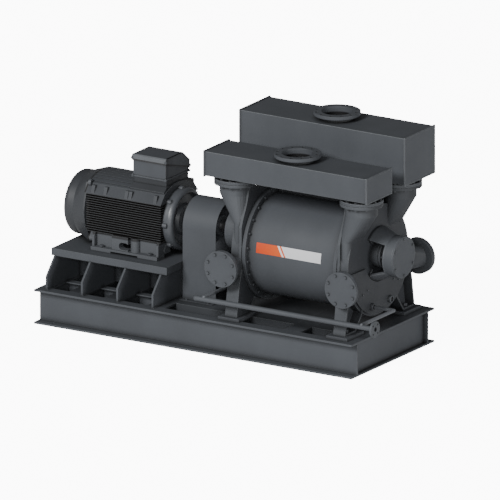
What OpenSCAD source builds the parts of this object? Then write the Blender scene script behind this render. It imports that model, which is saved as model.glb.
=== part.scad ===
// Liquid ring vacuum pump set: motor, coupling and double-ended pump on a welded channel base.
// Millimetres. Origin at the middle of the base's underside, +X from the motor to the pump,
// +Y to the back, +Z up.

/* [Base] */
// Length of the base over its channel ends
base_l = 3345; // [3200:5:3500]
// Width of the base over the flange tips
base_w = 1404; // [1380:2:1440]
// Height of the base channels
base_h = 320; // [280:2:360]
// Width of a channel over web and flange
channel_b = 114; // [100:1:124]
// Thickness of a channel's flanges
channel_tf = 18; // [12:1:24]
// Thickness of a channel's web
channel_tw = 14; // [8:1:20]
// Flange width of the cross members
cross_b = 180; // [140:2:200]
// Overhang of the end beams' flanges
end_over = 50; // [40:1:60]
// Distance of the middle cross member from the pump's middle
mid_cross = 75; // [0:1:130]
// Half width of the deck trays between the cross members
deck_half = 400; // [350:5:440]
// Diameter of the foundation bolt holes
anchor_d = 26; // [20:1:33]
// Foundation hole spacing along the base, outer group
anchor_outer = 3000; // [2800:10:3050]
// Foundation hole spacing along the base, inner group
anchor_inner = 1000; // [800:10:1200]

/* [Motor pedestal] */
// Height of the pedestal ribs
rib_h = 280; // [240:2:320]
// Thickness of the ribs
rib_t = 18; // [12:1:24]
// Place of the first rib's middle
rib_x0 = -1571; // [-1580:1:-1560]
// Spacing of the ribs
rib_pitch = 372; // [360:1:380]
// Number of ribs
rib_n = 4; // [3:1:4]
// Half depth of a rib at its foot
rib_foot = 653; // [640:1:660]
// Half depth of a rib at its top
rib_top = 515; // [510:1:540]
// Height of the upright part of a rib's end
rib_toe = 125; // [100:1:140]
// Thickness of the motor bed plate
bed_t = 67; // [50:1:80]
// First end of the bed plate
bed_x0 = -1610; // [-1640:2:-1600]
// Half depth of the bed plate
bed_half = 505; // [480:1:510]

/* [Motor] */
// Height of the shaft above the bed plate
shaft_h = 315; // [312:1:330]
// First end of the finned frame
frame_x0 = -1382; // [-1400:1:-1370]
// Length of the finned frame
frame_l = 805; // [790:1:820]
// Outer radius of the frame's barrel under the fins
frame_r = 282; // [278:1:288]
// Bore radius of the frame
frame_bore = 255; // [250:1:260]
// Half width over the side fins
fin_half_w = 318; // [310:1:324]
// Height of the top side fin above the shaft line
fin_z = 190; // [180:1:200]
// Number of side fins
fin_n = 17; // [15:1:18]
// Spacing of the fins
fin_pitch = 21.5; // [20:0.5:22]
// Thickness of a fin
fin_t = 6; // [5:0.5:8]
// Height of the frame's crown above the shaft line
crown_h = 338; // [330:1:345]
// Distance of the frame's corners from the shaft line, across
corner_y = 250; // [240:1:260]
// Distance of the frame's corners from the shaft line, upwards
corner_z = 272; // [268:1:278]
// Length of the fan cover
cover_l = 252; // [242:1:260]
// Radius of the fan cover's dome
cover_r = 296; // [285:1:300]
// Thickness of the fan cover's sheet
cover_t = 5; // [3:0.5:8]
// Length of the drive end shield
shield_l = 92; // [84:1:100]
// Radius of the drive end shield
shield_r = 284; // [278:1:290]
// Length of the motor's feet
foot_l = 698; // [680:2:710]
// Half depth over the motor's feet
foot_half = 368; // [350:1:380]
// Thickness of the motor's feet
foot_t = 33; // [26:1:40]
// Foot bolt spacing along the motor
foot_bolt_x = 508; // [457:1:560]
// Foot bolt spacing across the motor
foot_bolt_y = 668; // [664:2:676]
// Diameter of the motor's shaft end
motor_shaft_d = 90; // [80:1:100]
// Length of the terminal box
box_l = 342; // [300:2:360]
// Depth of the terminal box
box_w = 390; // [360:2:400]
// Height of the terminal box's front wall
box_h = 150; // [130:1:170]
// Fall of the box's joint from front to back
box_fall = 116; // [90:1:120]
// Height of the lid's front edge
lid_h = 36; // [28:1:40]
// Distance of the terminal box's middle from the frame's drive end
box_back = 199; // [190:1:210]

/* [Coupling] */
// Diameter of the coupling's flanges
coupling_d = 330; // [300:2:340]
// First end of the coupling
coupling_x0 = -356; // [-360:1:-350]
// Length of each hub
hub_l = 115; // [100:1:120]
// Number of coupling pins
pin_n = 8; // [6:1:10]
// First end of the coupling guard
guard_x0 = -393; // [-400:1:-385]
// Width of the coupling guard
guard_l = 348; // [340:1:360]
// Outer radius of the guard's arch
guard_r = 240; // [220:1:250]
// Thickness of the guard's sheet
guard_t = 4; // [2:0.5:6]

/* [Pump] */
// Place of the drive-end housing's outer face
pump_de = 288; // [284:1:292]
// Drop of the barrel's axis under the shaft's
eccentricity = 64; // [50:1:70]
// Length of the barrel over its flanges
barrel_l = 1010; // [980:2:1040]
// Outer radius of the barrel
barrel_r = 466; // [460:1:472]
// Wall of the barrel
barrel_wall = 25; // [20:1:32]
// Radius of the barrel's flanges
barrel_flange_r = 520; // [514:1:526]
// Thickness of the barrel's flanges
barrel_flange_t = 42; // [38:1:48]
// Number of bolts in each barrel flange
barrel_bolts = 24; // [20:2:28]
// Width of an end housing's ring
ring_w = 110; // [104:1:120]
// Radius of an end housing's ring
ring_r = 510; // [506:1:514]
// Thickness of a port plate
port_t = 20; // [16:1:26]
// Thickness of an end housing's walls
housing_wall = 28; // [22:1:34]
// Number of impeller vanes
vane_n = 18; // [14:1:22]
// Thickness of an impeller vane
vane_t = 14; // [10:1:18]
// Running gap between vane tips and barrel at the top
tip_gap = 6; // [4:0.5:10]
// Diameter of the pump's shaft in the impeller
pump_shaft_d = 150; // [140:1:160]
// Diameter of the pump's shaft in its bearings
pump_journal_d = 120; // [110:1:125]

/* [Pump ends] */
// Distance of the necks from the barrel's ends
neck_out = 157; // [151:1:163]
// Distance of the front necks from the shaft
neck_front = 356; // [350:1:362]
// Distance of the rear necks from the shaft
neck_rear = 300; // [295:1:305]
// Height of the front necks' flange seats
neck_front_z = 1529; // [1520:1:1540]
// Height of the rear necks' flange seats
neck_rear_z = 1545; // [1535:1:1555]
// Outer radius of a neck
neck_r = 147; // [140:1:152]
// Wall of a neck
neck_wall = 16; // [12:1:20]
// Radius of the neck flanges
neck_flange_r = 197; // [195:0.5:205]
// Thickness of the neck flanges
neck_flange_t = 26; // [22:1:32]
// Bolt circle of the neck flanges
neck_pcd = 350; // [345:1:355]
// Number of bolts in a neck flange
neck_bolts = 12; // [8:4:12]
// Thickness of the gaskets
gasket_t = 3; // [2:0.5:5]
// Distance of the cleanout stubs from the barrel's ends
stub_out = 129; // [123:1:135]
// Distance of the cleanout covers' faces from the shaft
stub_reach = 668; // [655:1:680]
// Height of the side stubs
stub_z = 800; // [790:1:810]
// Radius of the cleanout covers
stub_flange_r = 167; // [162:1:170]
// Thickness of the cleanout covers
stub_cover_t = 24; // [18:1:30]
// Outer radius of a side stub
stub_r = 108; // [100:1:112]
// Distance of the legs from the barrel's ends
leg_out = 65; // [63:1:69]
// Width of a leg
leg_w = 126; // [116:1:130]
// Half depth over the legs' feet
leg_foot = 590; // [580:1:600]
// Thickness of the foot pads
pad_t = 28; // [20:1:36]
// Length of the foot pads
pad_l = 218; // [200:2:230]
// Half depth over the foot pads
pad_half = 635; // [625:1:645]
// Length of the bearing brackets up to the bearings
bracket_l = 172; // [160:1:180]
// Radius of a bracket at the housing
bracket_r = 250; // [240:1:255]
// Length of a bearing housing
bearing_l = 84; // [76:1:92]
// Radius of a bearing housing
bearing_r = 190; // [180:1:195]
// Thickness of a bearing cover
bearing_cover_t = 16; // [12:1:22]

/* [Headers] */
// Overhang of the headers past the drive-end necks
header_over = 209; // [201:1:215]
// Overhang of the front header past the free-end neck
front_over = 189; // [180:1:198]
// Overhang of the rear header past the free-end neck
rear_over = 215; // [205:1:225]
// Depth of the front header
front_d = 420; // [400:2:430]
// Place of the front header's middle
front_y = -359; // [-365:1:-355]
// Height of the front header's underside
front_z = 1615; // [1605:1:1630]
// Height of the front header
front_h = 227; // [200:1:250]
// Depth of the rear header
rear_d = 500; // [480:2:520]
// Place of the rear header's middle
rear_y = 288; // [284:1:296]
// Height of the rear header's underside
rear_z = 1640; // [1630:1:1655]
// Height of the rear header
rear_h = 435; // [400:1:460]
// Wall of the headers
header_wall = 12; // [8:1:16]
// Overhang of the headers' end plates
end_lip = 8; // [4:1:12]
// Radius of the nozzle flanges
nozzle_flange_r = 212.5; // [208:0.5:215]
// Thickness of the nozzle flanges
nozzle_flange_t = 32; // [26:1:36]
// Height of the nozzle flange faces above a header
nozzle_h = 66; // [58:1:80]
// Bore radius of the nozzles
nozzle_bore = 140; // [130:1:144]
// Wall of the nozzle pipes
nozzle_wall = 8; // [6:0.5:12]
// Bolt circle of the nozzle flanges
nozzle_pcd = 370; // [364:1:374]
// Diameter of the nozzle flanges' bolt holes
nozzle_hole_d = 30; // [26:1:32]

/* [Service liquid line] */
// Outer diameter of the service pipe
pipe_d = 48; // [42:0.5:60]
// Bore of the service pipe
pipe_bore = 41; // [34:0.5:42]
// Distance of the service pipe from the shaft
pipe_reach = 690; // [680:1:700]
// Height of the service pipe
pipe_z = 502; // [490:1:515]
// Overhang of the service pipe past the drive-end branch
pipe_over = 89; // [70:1:100]
// Distance of the service flange from the free-end branch
flange_over = 145; // [130:1:155]
// Diameter of the service flange
pipe_flange_d = 150; // [140:1:165]
// Bolt circle of the service flange
pipe_pcd = 110; // [100:1:115]
// Outer diameter of the branches
branch_d = 34; // [28:0.5:40]
// Distance of the drive-end branch from its housing
de_branch = 176; // [160:1:190]
// Distance of the free-end branch from its housing
nde_branch = 257; // [245:1:270]
// Distance from the shaft at which the branches turn in
branch_reach = 150; // [140:1:160]

/* [Hidden] */
$fn = 64;

paint = "slategray";
paint_dark = "dimgray";
steel = "silver";

// Radial clearance of a running fit
run = 0.05;
// Clear space between pieces that turn past each other
clear = 0.5;
// Overshoot of cutting shapes
cut = 1;

half_l = barrel_l/2;
ring_x1 = half_l + ring_w;
pump_x = pump_de + ring_x1;
leg_x = half_l + leg_out;
neck_x = half_l + neck_out;
stub_x = half_l + stub_out;
header_x0 = pump_x - neck_x - header_over;
front_l = 2*neck_x + header_over + front_over;
rear_l = 2*neck_x + header_over + rear_over;
branch_x0 = pump_de - de_branch;
branch_x1 = pump_x + ring_x1 + nde_branch;
pipe_x0 = branch_x0 - pipe_over;
pipe_x1 = branch_x1 + flange_over;

beam_in = base_w/2 - channel_b;
end_in = base_l/2 - channel_b;
anchor_y = base_w/2 - (channel_b - channel_tw)/2;
cross_xs = concat([for (i = [1 : rib_n - 1]) rib_x0 + i*rib_pitch - (i < rib_n - 1 ? (cross_b - rib_t)/2 : 0)],
    [pump_x - leg_x, pump_x + mid_cross, min(pump_x + leg_x, end_in - cross_b/2)]);
rib_zs = base_h + rib_h;
bed_z = rib_zs + bed_t;
bed_l = guard_x0 - 3 - bed_x0;
shaft_z = bed_z + shaft_h;
barrel_z = shaft_z - eccentricity;

frame_x1 = frame_x0 + frame_l;
frame_mid = frame_x0 + frame_l/2;
foot_back = 356;
motor_bolt_mid = frame_x1 - foot_back;
box_x = frame_x1 - box_back;
foot_z = bed_z - shaft_z;
foot_bolt_r = 14;
box_seat_z = shaft_z + crown_h + 41;
gland_bore = 24;
gland_x = box_x - box_l/2;
gland_z = box_seat_z + 42;
tray_wall = 8;
box_y0 = -box_w/2 + 7;
corner_r = norm([corner_y, corner_z]);
crown_sag = crown_h - corner_z;
crown_r = (corner_y*corner_y + crown_sag*crown_sag)/(2*crown_sag);
corner_a = atan2(corner_z, corner_y);
gland_y = 0;
lid_out = 8;
air_slot = 22;
rim_w = 18;
rim_low = 20 - shaft_h;
rim_r = fin_half_w;
motor_bearing_w = 54;
motor_bearing_r = 100;
motor_race_r = 72;
motor_journal_r = motor_shaft_d/2 + 5;
shield_t = 30;
flare_x = frame_x0 - cover_l + 118;
fan_l = 95;
fan_x0 = frame_x0 - motor_bearing_w - 26 - fan_l;
core_l = 480;
rotor_r = 168;
air_gap = 1.2;
stator_r = rotor_r + air_gap;
winding_l = 90;
shaft_end_x = coupling_x0 + hub_l;
coupling_gap = 6;
pump_hub_x0 = shaft_end_x + coupling_gap;
pin_pcd = coupling_d - 80;
pin_r = 11;
bush_r = 20;
coupling_flange_t = 45;
hub_r = 95;
hub_seat_r = pump_journal_d/2 - 8;

bore_r = barrel_r - barrel_wall;
impeller_r = bore_r - eccentricity - tip_gap;
impeller_l = barrel_l - 2*clear;
impeller_hub_r = 165;
port_r = bore_r + 20;
chamber_r = ring_r - housing_wall;
gland_r = 130;
packing_r = pump_shaft_d/2 + 20;
journal_x0 = half_l + ring_w + bracket_l - 20;
bearing_x0 = ring_x1 + bracket_l;
bearing_x1 = bearing_x0 + bearing_l;
cover_x1 = bearing_x1 + bearing_cover_t;
pump_bearing_r = 130;
pump_race_r = 92;
bracket_wall = 26;
leg_z = base_h + pad_t;
bolt_r = 10;
apron_t = 24;
rim_t = 26;
port_boss_l = 14;
branch_z = pipe_z + (pipe_d - branch_d)/2 + 13;
neck_top = 90;
root_z = 1000;
root_h = 187;
root_w = 2*neck_r - ring_w;
front_seat_z = neck_front_z + neck_flange_t + gasket_t;
rear_seat_z = neck_rear_z + neck_flange_t + gasket_t;

// Lays a profile drawn in Y and Z along X
module along_x(x0, l) {
    translate([x0, 0, 0]) rotate([90, 0, 90]) linear_extrude(l) children();
}

// Lays a profile drawn in X and Z along Y
module along_y(y0, l) {
    translate([0, y0 + l, 0]) rotate([90, 0, 0]) linear_extrude(l) children();
}

// Turns a profile of radius and X about the line through height z
module turned(z) {
    translate([0, 0, z]) rotate([0, 90, 0]) rotate_extrude() children();
}

// A plain round bar along X
module bar_x(x0, l, r, y = 0, z = 0) {
    translate([x0, y, z]) rotate([0, 90, 0]) cylinder(h = l, r = r);
}

// A plain round bar along Y
module bar_y(y0, l, r, x = 0, z = 0) {
    translate([x, y0, z]) rotate([-90, 0, 0]) cylinder(h = l, r = r);
}

// A sleeve along X
module sleeve_x(x0, l, r_out, r_in, z) {
    along_x(x0, l) translate([0, z]) difference() {
        circle(r_out);
        circle(r_in);
    }
}

// Repeats a child around the X line at height z
module ring_x(n, r, z, phase = 0) {
    for (i = [0 : n - 1])
        translate([0, r*cos(phase + i*360/n), z + r*sin(phase + i*360/n)]) children();
}

// Repeats a child around an upright line
module ring_z(n, r, phase = 0) {
    for (i = [0 : n - 1])
        translate([r*cos(phase + i*360/n), r*sin(phase + i*360/n), 0]) children();
}

// Repeats a child around a line along Y
module ring_y(n, r, phase = 0) {
    for (i = [0 : n - 1])
        translate([r*cos(phase + i*360/n), 0, r*sin(phase + i*360/n)]) children();
}

// Puts a child drawn for the free end at the pump's free end
module free_end() {
    translate([pump_x, 0, 0]) children();
}

// Puts a child drawn for the free end at the pump's drive end
module drive_end() {
    translate([pump_x, 0, 0]) mirror([1, 0, 0]) children();
}

// Puts a child at both pump ends
module both_ends() {
    free_end() children();
    drive_end() children();
}

// Repeats a child on the rear side
module both_sides() {
    children();
    mirror([0, 1, 0]) children();
}

// Section of a base channel with its web at the far side
module channel_section() {
    difference() {
        square([channel_b, base_h]);
        translate([-cut, channel_tf]) square([channel_b - channel_tw + cut, base_h - 2*channel_tf]);
    }
}

module front_beam() {
    difference() {
        along_x(-base_l/2, base_l) translate([-base_w/2, 0]) channel_section();
        for (pitch = [anchor_outer, anchor_inner], side = [-1, 1])
            translate([side*pitch/2, -anchor_y, -cut]) cylinder(h = channel_tf + 2*cut, d = anchor_d);
    }
}

module base_front_beam() {
    color(paint) front_beam();
}

module base_rear_beam() {
    color(paint) mirror([0, 1, 0]) front_beam();
}

module base_end_beams() {
    color(paint) for (side = [0, 1]) mirror([side, 0, 0])
        along_y(-beam_in, 2*beam_in) translate([base_l/2, 0]) mirror([1, 0]) difference() {
            square([channel_b, base_h]);
            translate([-cut, channel_tf]) square([end_over + cut, base_h - 2*channel_tf]);
            translate([end_over + channel_tw, channel_tf]) square([channel_b, base_h - 2*channel_tf]);
        }
}

module base_cross_members() {
    color(paint) for (x = cross_xs) along_y(-beam_in, 2*beam_in) translate([x, 0]) {
        translate([-cross_b/2, 0]) square([cross_b, channel_tf]);
        translate([-cross_b/2, base_h - channel_tf]) square([cross_b, channel_tf]);
        translate([-channel_tw/2, channel_tf]) square([channel_tw, base_h - 2*channel_tf]);
    }
}

module base_deck_trays() {
    tray_skirt = 160;
    color(paint_dark) for (i = [rib_n - 2 : len(cross_xs) - 2]) {
        x0 = cross_xs[i] + cross_b/2;
        along_x(x0, cross_xs[i + 1] - cross_b/2 - x0) difference() {
            translate([-deck_half, base_h - tray_skirt]) square([2*deck_half, tray_skirt]);
            translate([channel_tf - deck_half, base_h - tray_skirt - cut])
                square([2*(deck_half - channel_tf), tray_skirt - channel_tf + cut]);
        }
    }
}

// Bay between two ribs, as [first end, length]
function bay(i) = [rib_x0 + i*rib_pitch + rib_t/2, rib_pitch - rib_t];

module pedestal_ribs() {
    color(paint) for (i = [0 : rib_n - 1])
        along_x(rib_x0 + i*rib_pitch - rib_t/2, rib_t) polygon([
            [-rib_foot, base_h], [rib_foot, base_h], [rib_foot, base_h + rib_toe],
            [rib_top, rib_zs], [-rib_top, rib_zs], [-rib_foot, base_h + rib_toe]]);
}

module pedestal_stringers() {
    stringer_out = 349;
    stringer_b = 75;
    stringer_h = 200;
    stringer_t = 11;
    web_y = 90;
    color(paint_dark) for (i = [0 : rib_n - 2]) {
        x0 = i == 0 ? -end_in : cross_xs[i - 1] + cross_b/2;
        both_sides() along_x(x0, cross_xs[i] - cross_b/2 - x0) translate([-stringer_out, base_h - stringer_h])
            difference() {
                square([stringer_b, stringer_h]);
                translate([-cut, stringer_t])
                    square([stringer_b - stringer_t + cut, stringer_h - 2*stringer_t]);
            }
        both_sides() along_x(bay(i)[0], bay(i)[1]) translate([-web_y - rib_t/2, base_h]) square([rib_t, rib_h]);
    }
}

// Places a child at each foot bolt of the motor
module at_foot_bolts() {
    for (sx = [-1, 1], sy = [-1, 1])
        translate([motor_bolt_mid + sx*foot_bolt_x/2, sy*foot_bolt_y/2, 0]) children();
}

module motor_bed_plate() {
    color(paint) difference() {
        translate([bed_x0, -bed_half, rib_zs]) cube([bed_l, 2*bed_half, bed_t]);
        at_foot_bolts() translate([0, 0, rib_zs - cut]) cylinder(h = bed_t + 2*cut, r = foot_bolt_r);
    }
}

module motor_foot_bolts() {
    head_t = 18;
    color(steel) at_foot_bolts() {
        translate([0, 0, rib_zs + cut]) cylinder(h = bed_t + foot_t - cut, r = foot_bolt_r);
        translate([0, 0, bed_z + foot_t]) cylinder(h = head_t, r = 22, $fn = 6);
    }
}

module pump_foot_pads() {
    pad_depth = 295;
    color(paint) both_ends() both_sides()
        translate([leg_x - pad_l/2, -pad_half, base_h]) cube([pad_l, pad_depth, pad_t]);
}

// Outlines of all side fins, drawn in Y and Z about the shaft
module fin_outline() {
    for (i = [0 : fin_n - 1])
        translate([-fin_half_w, fin_z - i*fin_pitch - fin_t]) square([2*fin_half_w, fin_t]);
}

// Smooth top of the frame, drawn in Y and Z about the shaft
module crown_outline() {
    corner_flat = 3;
    intersection() {
        translate([0, crown_h - crown_r]) circle(crown_r);
        polygon([[-fin_half_w, fin_z], [-corner_y, corner_z - corner_flat], [-corner_y, 2*crown_h],
            [corner_y, 2*crown_h], [corner_y, corner_z - corner_flat], [fin_half_w, fin_z]]);
    }
}

// Lengthwise grooves in the top of the frame, drawn in Y and Z about the shaft
module crown_grooves() {
    groove_n = 5;
    groove_t = 7;
    groove_d = 9;
    for (i = [-groove_n : groove_n], y = i*corner_y/(groove_n + 0.5))
        translate([y - groove_t/2, crown_h - crown_r + sqrt(crown_r*crown_r - y*y) - groove_d])
            square([groove_t, crown_h]);
}

// Bolt lugs at the four corners of the frame's ends, drawn in Y and Z about the shaft
module lug_outline() {
    lug_r = 26;
    reach = corner_r - lug_r - 4;
    for (sy = [0, 1], sz = [0, 1]) mirror([sy, 0]) mirror([0, sz]) rotate(corner_a) {
        translate([frame_r - lug_r, -lug_r]) square([reach - frame_r + lug_r, 2*lug_r]);
        translate([reach, 0]) circle(lug_r);
    }
}

// One cast foot rail with its end gussets and middle boss
module foot_rail() {
    wall_y = 300;
    wall_t = 30;
    face_y = 345;
    wall_top = fin_z - fin_n*fin_pitch + fin_pitch;
    gusset_t = 24;
    boss_x = motor_bolt_mid - 57;
    boss_l = 170;
    round_x = motor_bolt_mid + 85;
    round_r = 46;
    tunnel_x = motor_bolt_mid - 15;
    tunnel_l = 104;
    tunnel_h = 66;
    tunnel_z = 40;
    gap_l = 285;
    gap_h = 14;
    x0 = motor_bolt_mid - foot_l/2;
    z0 = foot_z + foot_t;
    difference() {
        translate([x0, -foot_half, foot_z]) cube([foot_l, foot_half - wall_y + wall_t + 30, foot_t]);
        translate([motor_bolt_mid - gap_l/2, -foot_half - cut, foot_z - cut])
            cube([gap_l, foot_half, gap_h + cut]);
    }
    for (x = [x0, x0 + foot_l - gusset_t]) along_x(x, gusset_t) polygon([[-face_y, z0],
        [-face_y, wall_top - 30], [-fin_half_w, wall_top], [-frame_r/2, wall_top], [-frame_r/2, z0]]);
    difference() {
        union() {
            translate([x0, -wall_y, z0]) cube([foot_l, wall_t, wall_top - z0]);
            translate([boss_x - boss_l/2, -face_y, z0]) cube([boss_l, face_y - wall_y, wall_top - z0]);
            translate([round_x, -wall_y, z0]) cylinder(h = wall_top - z0, r = round_r);
        }
        along_y(-face_y - cut, face_y) for (side = [-1, 1]) {
            translate([tunnel_x + side*(tunnel_l - tunnel_h)/2, z0 + tunnel_z]) circle(d = tunnel_h);
            translate([tunnel_x - (tunnel_l - tunnel_h)/2, z0 + tunnel_z - tunnel_h/2])
                square([tunnel_l - tunnel_h, tunnel_h]);
        }
    }
}

module motor_frame() {
    pad_l = 300;
    pad_in = 103;
    pad_w = 275;
    lug_l = 58;
    brow_t = 34;
    brow_in = 12;
    brow_out = 40;
    brow_x = [for (part = [0.102, 0.263, 0.538, 0.588, 0.915]) frame_x0 + part*frame_l];
    color(paint_dark) translate([0, 0, shaft_z]) difference() {
        union() {
            along_x(frame_x0, frame_l) {
                circle(frame_r);
                difference() {
                    crown_outline();
                    crown_grooves();
                }
            }
            along_x(frame_x0 + air_slot, frame_l - air_slot) fin_outline();
            for (x = [frame_x0, frame_x1 - lug_l]) along_x(x, lug_l) lug_outline();
            both_sides() foot_rail();
            both_sides() for (x = brow_x) along_x(x - brow_t/2, brow_t)
                polygon([[2 - fin_half_w, fin_z - fin_t/2], [brow_in - corner_y, fin_z - fin_t/2],
                    [brow_in - corner_y, corner_z - 14], [-corner_y - brow_out, corner_z - 8]]);
            translate([box_x - pad_l/2, box_y0 + pad_in, 0])
                cube([pad_l, pad_w, box_seat_z - shaft_z]);
        }
        bar_x(frame_x0 - cut, frame_l + 2*cut, frame_bore);
        translate([0, 0, -shaft_z]) at_foot_bolts() translate([0, 0, bed_z - cut])
            cylinder(h = foot_t + 2*cut, r = foot_bolt_r);
    }
}

module stator_core() {
    color(steel) sleeve_x(frame_mid - core_l/2, core_l, frame_bore, stator_r, shaft_z);
}

module stator_windings() {
    color("peru") for (x = [frame_mid - core_l/2 - winding_l, frame_mid + core_l/2])
        sleeve_x(x, winding_l, frame_bore - 14, stator_r + 16, shaft_z);
}

module motor_de_shield() {
    round_r = 42;
    rim_in = 238;
    dish = 44;
    hub_out = motor_bearing_r + 34;
    x1 = frame_x1 + shield_l;
    lug_r = 26;
    lug_l = 44;
    lug_n = 8;
    color(paint_dark) ring_x(lug_n, shield_r - 8, shaft_z) bar_x(frame_x1, lug_l, lug_r);
    color(paint_dark) turned(shaft_z) polygon(concat(
        [[motor_bearing_r, frame_x1], [shield_r, frame_x1]],
        [for (a = [0 : 15 : 90]) [shield_r - round_r*(1 - cos(a)), x1 - round_r*(1 - sin(a))]],
        [[rim_in + 10, x1], [rim_in, x1 - 10], [rim_in - 12, x1 - dish], [hub_out + 12, x1 - dish],
            [hub_out, x1 - 14], [motor_shaft_d/2 + 4, x1 - 14],
            [motor_shaft_d/2 + 4, frame_x1 + motor_bearing_w], [motor_bearing_r, frame_x1 + motor_bearing_w]]));
}

module motor_nde_shield() {
    color(paint_dark) turned(shaft_z) polygon([
        [motor_bearing_r, frame_x0], [frame_bore + 20, frame_x0], [frame_bore + 20, frame_x0 - shield_t],
        [motor_bearing_r + 30, frame_x0 - motor_bearing_w - 8],
        [motor_journal_r + 4, frame_x0 - motor_bearing_w - 8],
        [motor_journal_r + 4, frame_x0 - motor_bearing_w], [motor_bearing_r, frame_x0 - motor_bearing_w]]);
}

module motor_bearing_outers() {
    color(steel) for (x = [frame_x0 - motor_bearing_w, frame_x1])
        sleeve_x(x, motor_bearing_w, motor_bearing_r, motor_race_r + run, shaft_z);
}

module motor_bearing_inners() {
    color(steel) for (x = [frame_x0 - motor_bearing_w, frame_x1])
        sleeve_x(x, motor_bearing_w, motor_race_r, motor_journal_r, shaft_z);
}

module fan_cover() {
    x0 = frame_x0 - cover_l;
    inlet_r = 215;
    hub_r = 70;
    bar_w = 8;
    spokes = 12;
    color(paint_dark) difference() {
        union() {
            turned(shaft_z) dome(0);
            flare(0);
        }
        turned(shaft_z) dome(cover_t);
        flare(cover_t);
        difference() {
            sleeve_x(x0 - cut, cover_t + 2*cut, inlet_r, hub_r, shaft_z);
            for (r = [hub_r + 20 : 25 : inlet_r - 10])
                sleeve_x(x0 - 2*cut, cover_t + 4*cut, r + bar_w, r, shaft_z);
            for (i = [0 : spokes/2 - 1]) translate([x0, 0, shaft_z]) rotate([i*360/spokes, 0, 0])
                translate([-2*cut, -bar_w/2, -inlet_r - cut])
                    cube([cover_t + 4*cut, bar_w, 2*inlet_r + 2*cut]);
        }
    }
}

// Half section of the fan cover's dome, drawn inwards by a wall
module dome(wall) {
    x0 = frame_x0 - cover_l;
    round_r = 55;
    polygon(concat([[0, x0 + wall]],
        [for (a = [0 : 15 : 90]) [cover_r - round_r + (round_r - wall)*sin(a),
            x0 + round_r - (round_r - wall)*cos(a)]],
        [[cover_r - wall, flare_x + 2], [0, flare_x + 2]]));
}

// Right half of the rim's outline, from the bottom to the top: a round side with a lug at each corner
rim_half = concat([[corner_y - 50, rim_low]], [for (a = [-42 : 12 : 30]) rim_r*[cos(a), sin(a)]],
    [[corner_y + 14, corner_z - 32], [corner_y, corner_z], [corner_y/2, (corner_z + 3*crown_h)/4]]);

// The rim's outline, drawn inwards by a wall, in Y and Z about the shaft
module rim_outline(wall) {
    k = 1 - wall/corner_z;
    polygon(concat([for (p = rim_half) k*p],
        [for (i = [len(rim_half) - 1 : -1 : 0]) k*[-rim_half[i][0], rim_half[i][1]]]));
}

// The cover's flare from its dome to the rim that meets the frame
module flare(wall) {
    open = wall > 0 ? cut : 0;
    hull() {
        bar_x(flare_x - open, 2, cover_r - wall, 0, shaft_z);
        translate([0, 0, shaft_z]) along_x(frame_x0 - rim_w, rim_w + open) rim_outline(wall);
    }
}

module terminal_box() {
    z0 = box_seat_z;
    y1 = box_y0 + box_w;
    color(paint_dark) difference() {
        along_x(box_x - box_l/2, box_l)
            polygon([[box_y0, z0], [y1, z0], [y1, z0 + box_h - box_fall], [box_y0, z0 + box_h]]);
        along_x(box_x - box_l/2 + tray_wall, box_l - 2*tray_wall)
            polygon([[box_y0 + tray_wall, z0 + tray_wall], [y1 - tray_wall, z0 + tray_wall],
                [y1 - tray_wall, z0 + box_h], [box_y0 + tray_wall, z0 + box_h]]);
        bar_x(gland_x - cut, tray_wall + 2*cut, gland_bore, gland_y, gland_z);
    }
}

// Outline of the terminal box's lid, drawn inwards by a wall, in Y and Z
module lid_outline(wall) {
    edge = 14;
    lip = 10;
    rise = 22;
    slope = 118;
    tilt = box_fall/box_w;
    in = wall > 0 ? lid_out + tray_wall : 0;
    open = wall > 0 ? 2*box_fall : 0;
    z0 = box_seat_z + box_h;
    y0 = box_y0 - lid_out + in;
    y1 = box_y0 + box_w + lid_out - in;
    top = z0 + lid_h + rise - wall;
    hang = (lid_out - in)*tilt;
    polygon([[y0, z0 + hang - open], [y0, top - lip], [y0 + edge, top], [y1 - slope, top],
        [y1, z0 - lid_h - wall], [y1, z0 - box_fall - hang - open]]);
}

module terminal_box_lid() {
    wall = 9;
    color(paint_dark) difference() {
        along_x(box_x - box_l/2 - lid_out, box_l + 2*lid_out) lid_outline(0);
        along_x(box_x - box_l/2 + tray_wall, box_l - 2*tray_wall) lid_outline(wall);
    }
}

module cable_gland() {
    nut_t = 22;
    dome_t = 24;
    color(steel) translate([gland_x, gland_y, gland_z]) rotate([0, -90, 0]) difference() {
        union() {
            translate([0, 0, -tray_wall]) cylinder(h = tray_wall, r = gland_bore);
            cylinder(h = nut_t, r = 34, $fn = 6);
            translate([0, 0, nut_t]) cylinder(h = dome_t, r = 27);
        }
        translate([0, 0, -tray_wall - cut]) cylinder(h = tray_wall + nut_t + dome_t + 2*cut, r = 17);
    }
}

// A lifting eye that stands out along Y, drawn in Y and Z about the shaft
module eye_outline() {
    eye_r = 30;
    seat = corner_r + 6;
    difference() {
        union() {
            translate([seat - 2*eye_r, -eye_r]) square([2*eye_r, 2*eye_r]);
            translate([seat, 0]) circle(eye_r);
        }
        translate([seat, 0]) circle(eye_r/2);
    }
}

module lifting_eyes() {
    eye_t = 26;
    eye_x = 20;
    color(paint_dark) difference() {
        translate([0, 0, shaft_z]) {
            along_x(frame_x0 + eye_x, eye_t) mirror([1, 0]) rotate(corner_a) eye_outline();
            along_x(frame_x1 - eye_x - eye_t, eye_t) rotate(corner_a) eye_outline();
        }
        translate([0, 0, shaft_z]) along_x(frame_x0, frame_l) {
            circle(frame_r);
            crown_outline();
            lug_outline();
        }
    }
}

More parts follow.
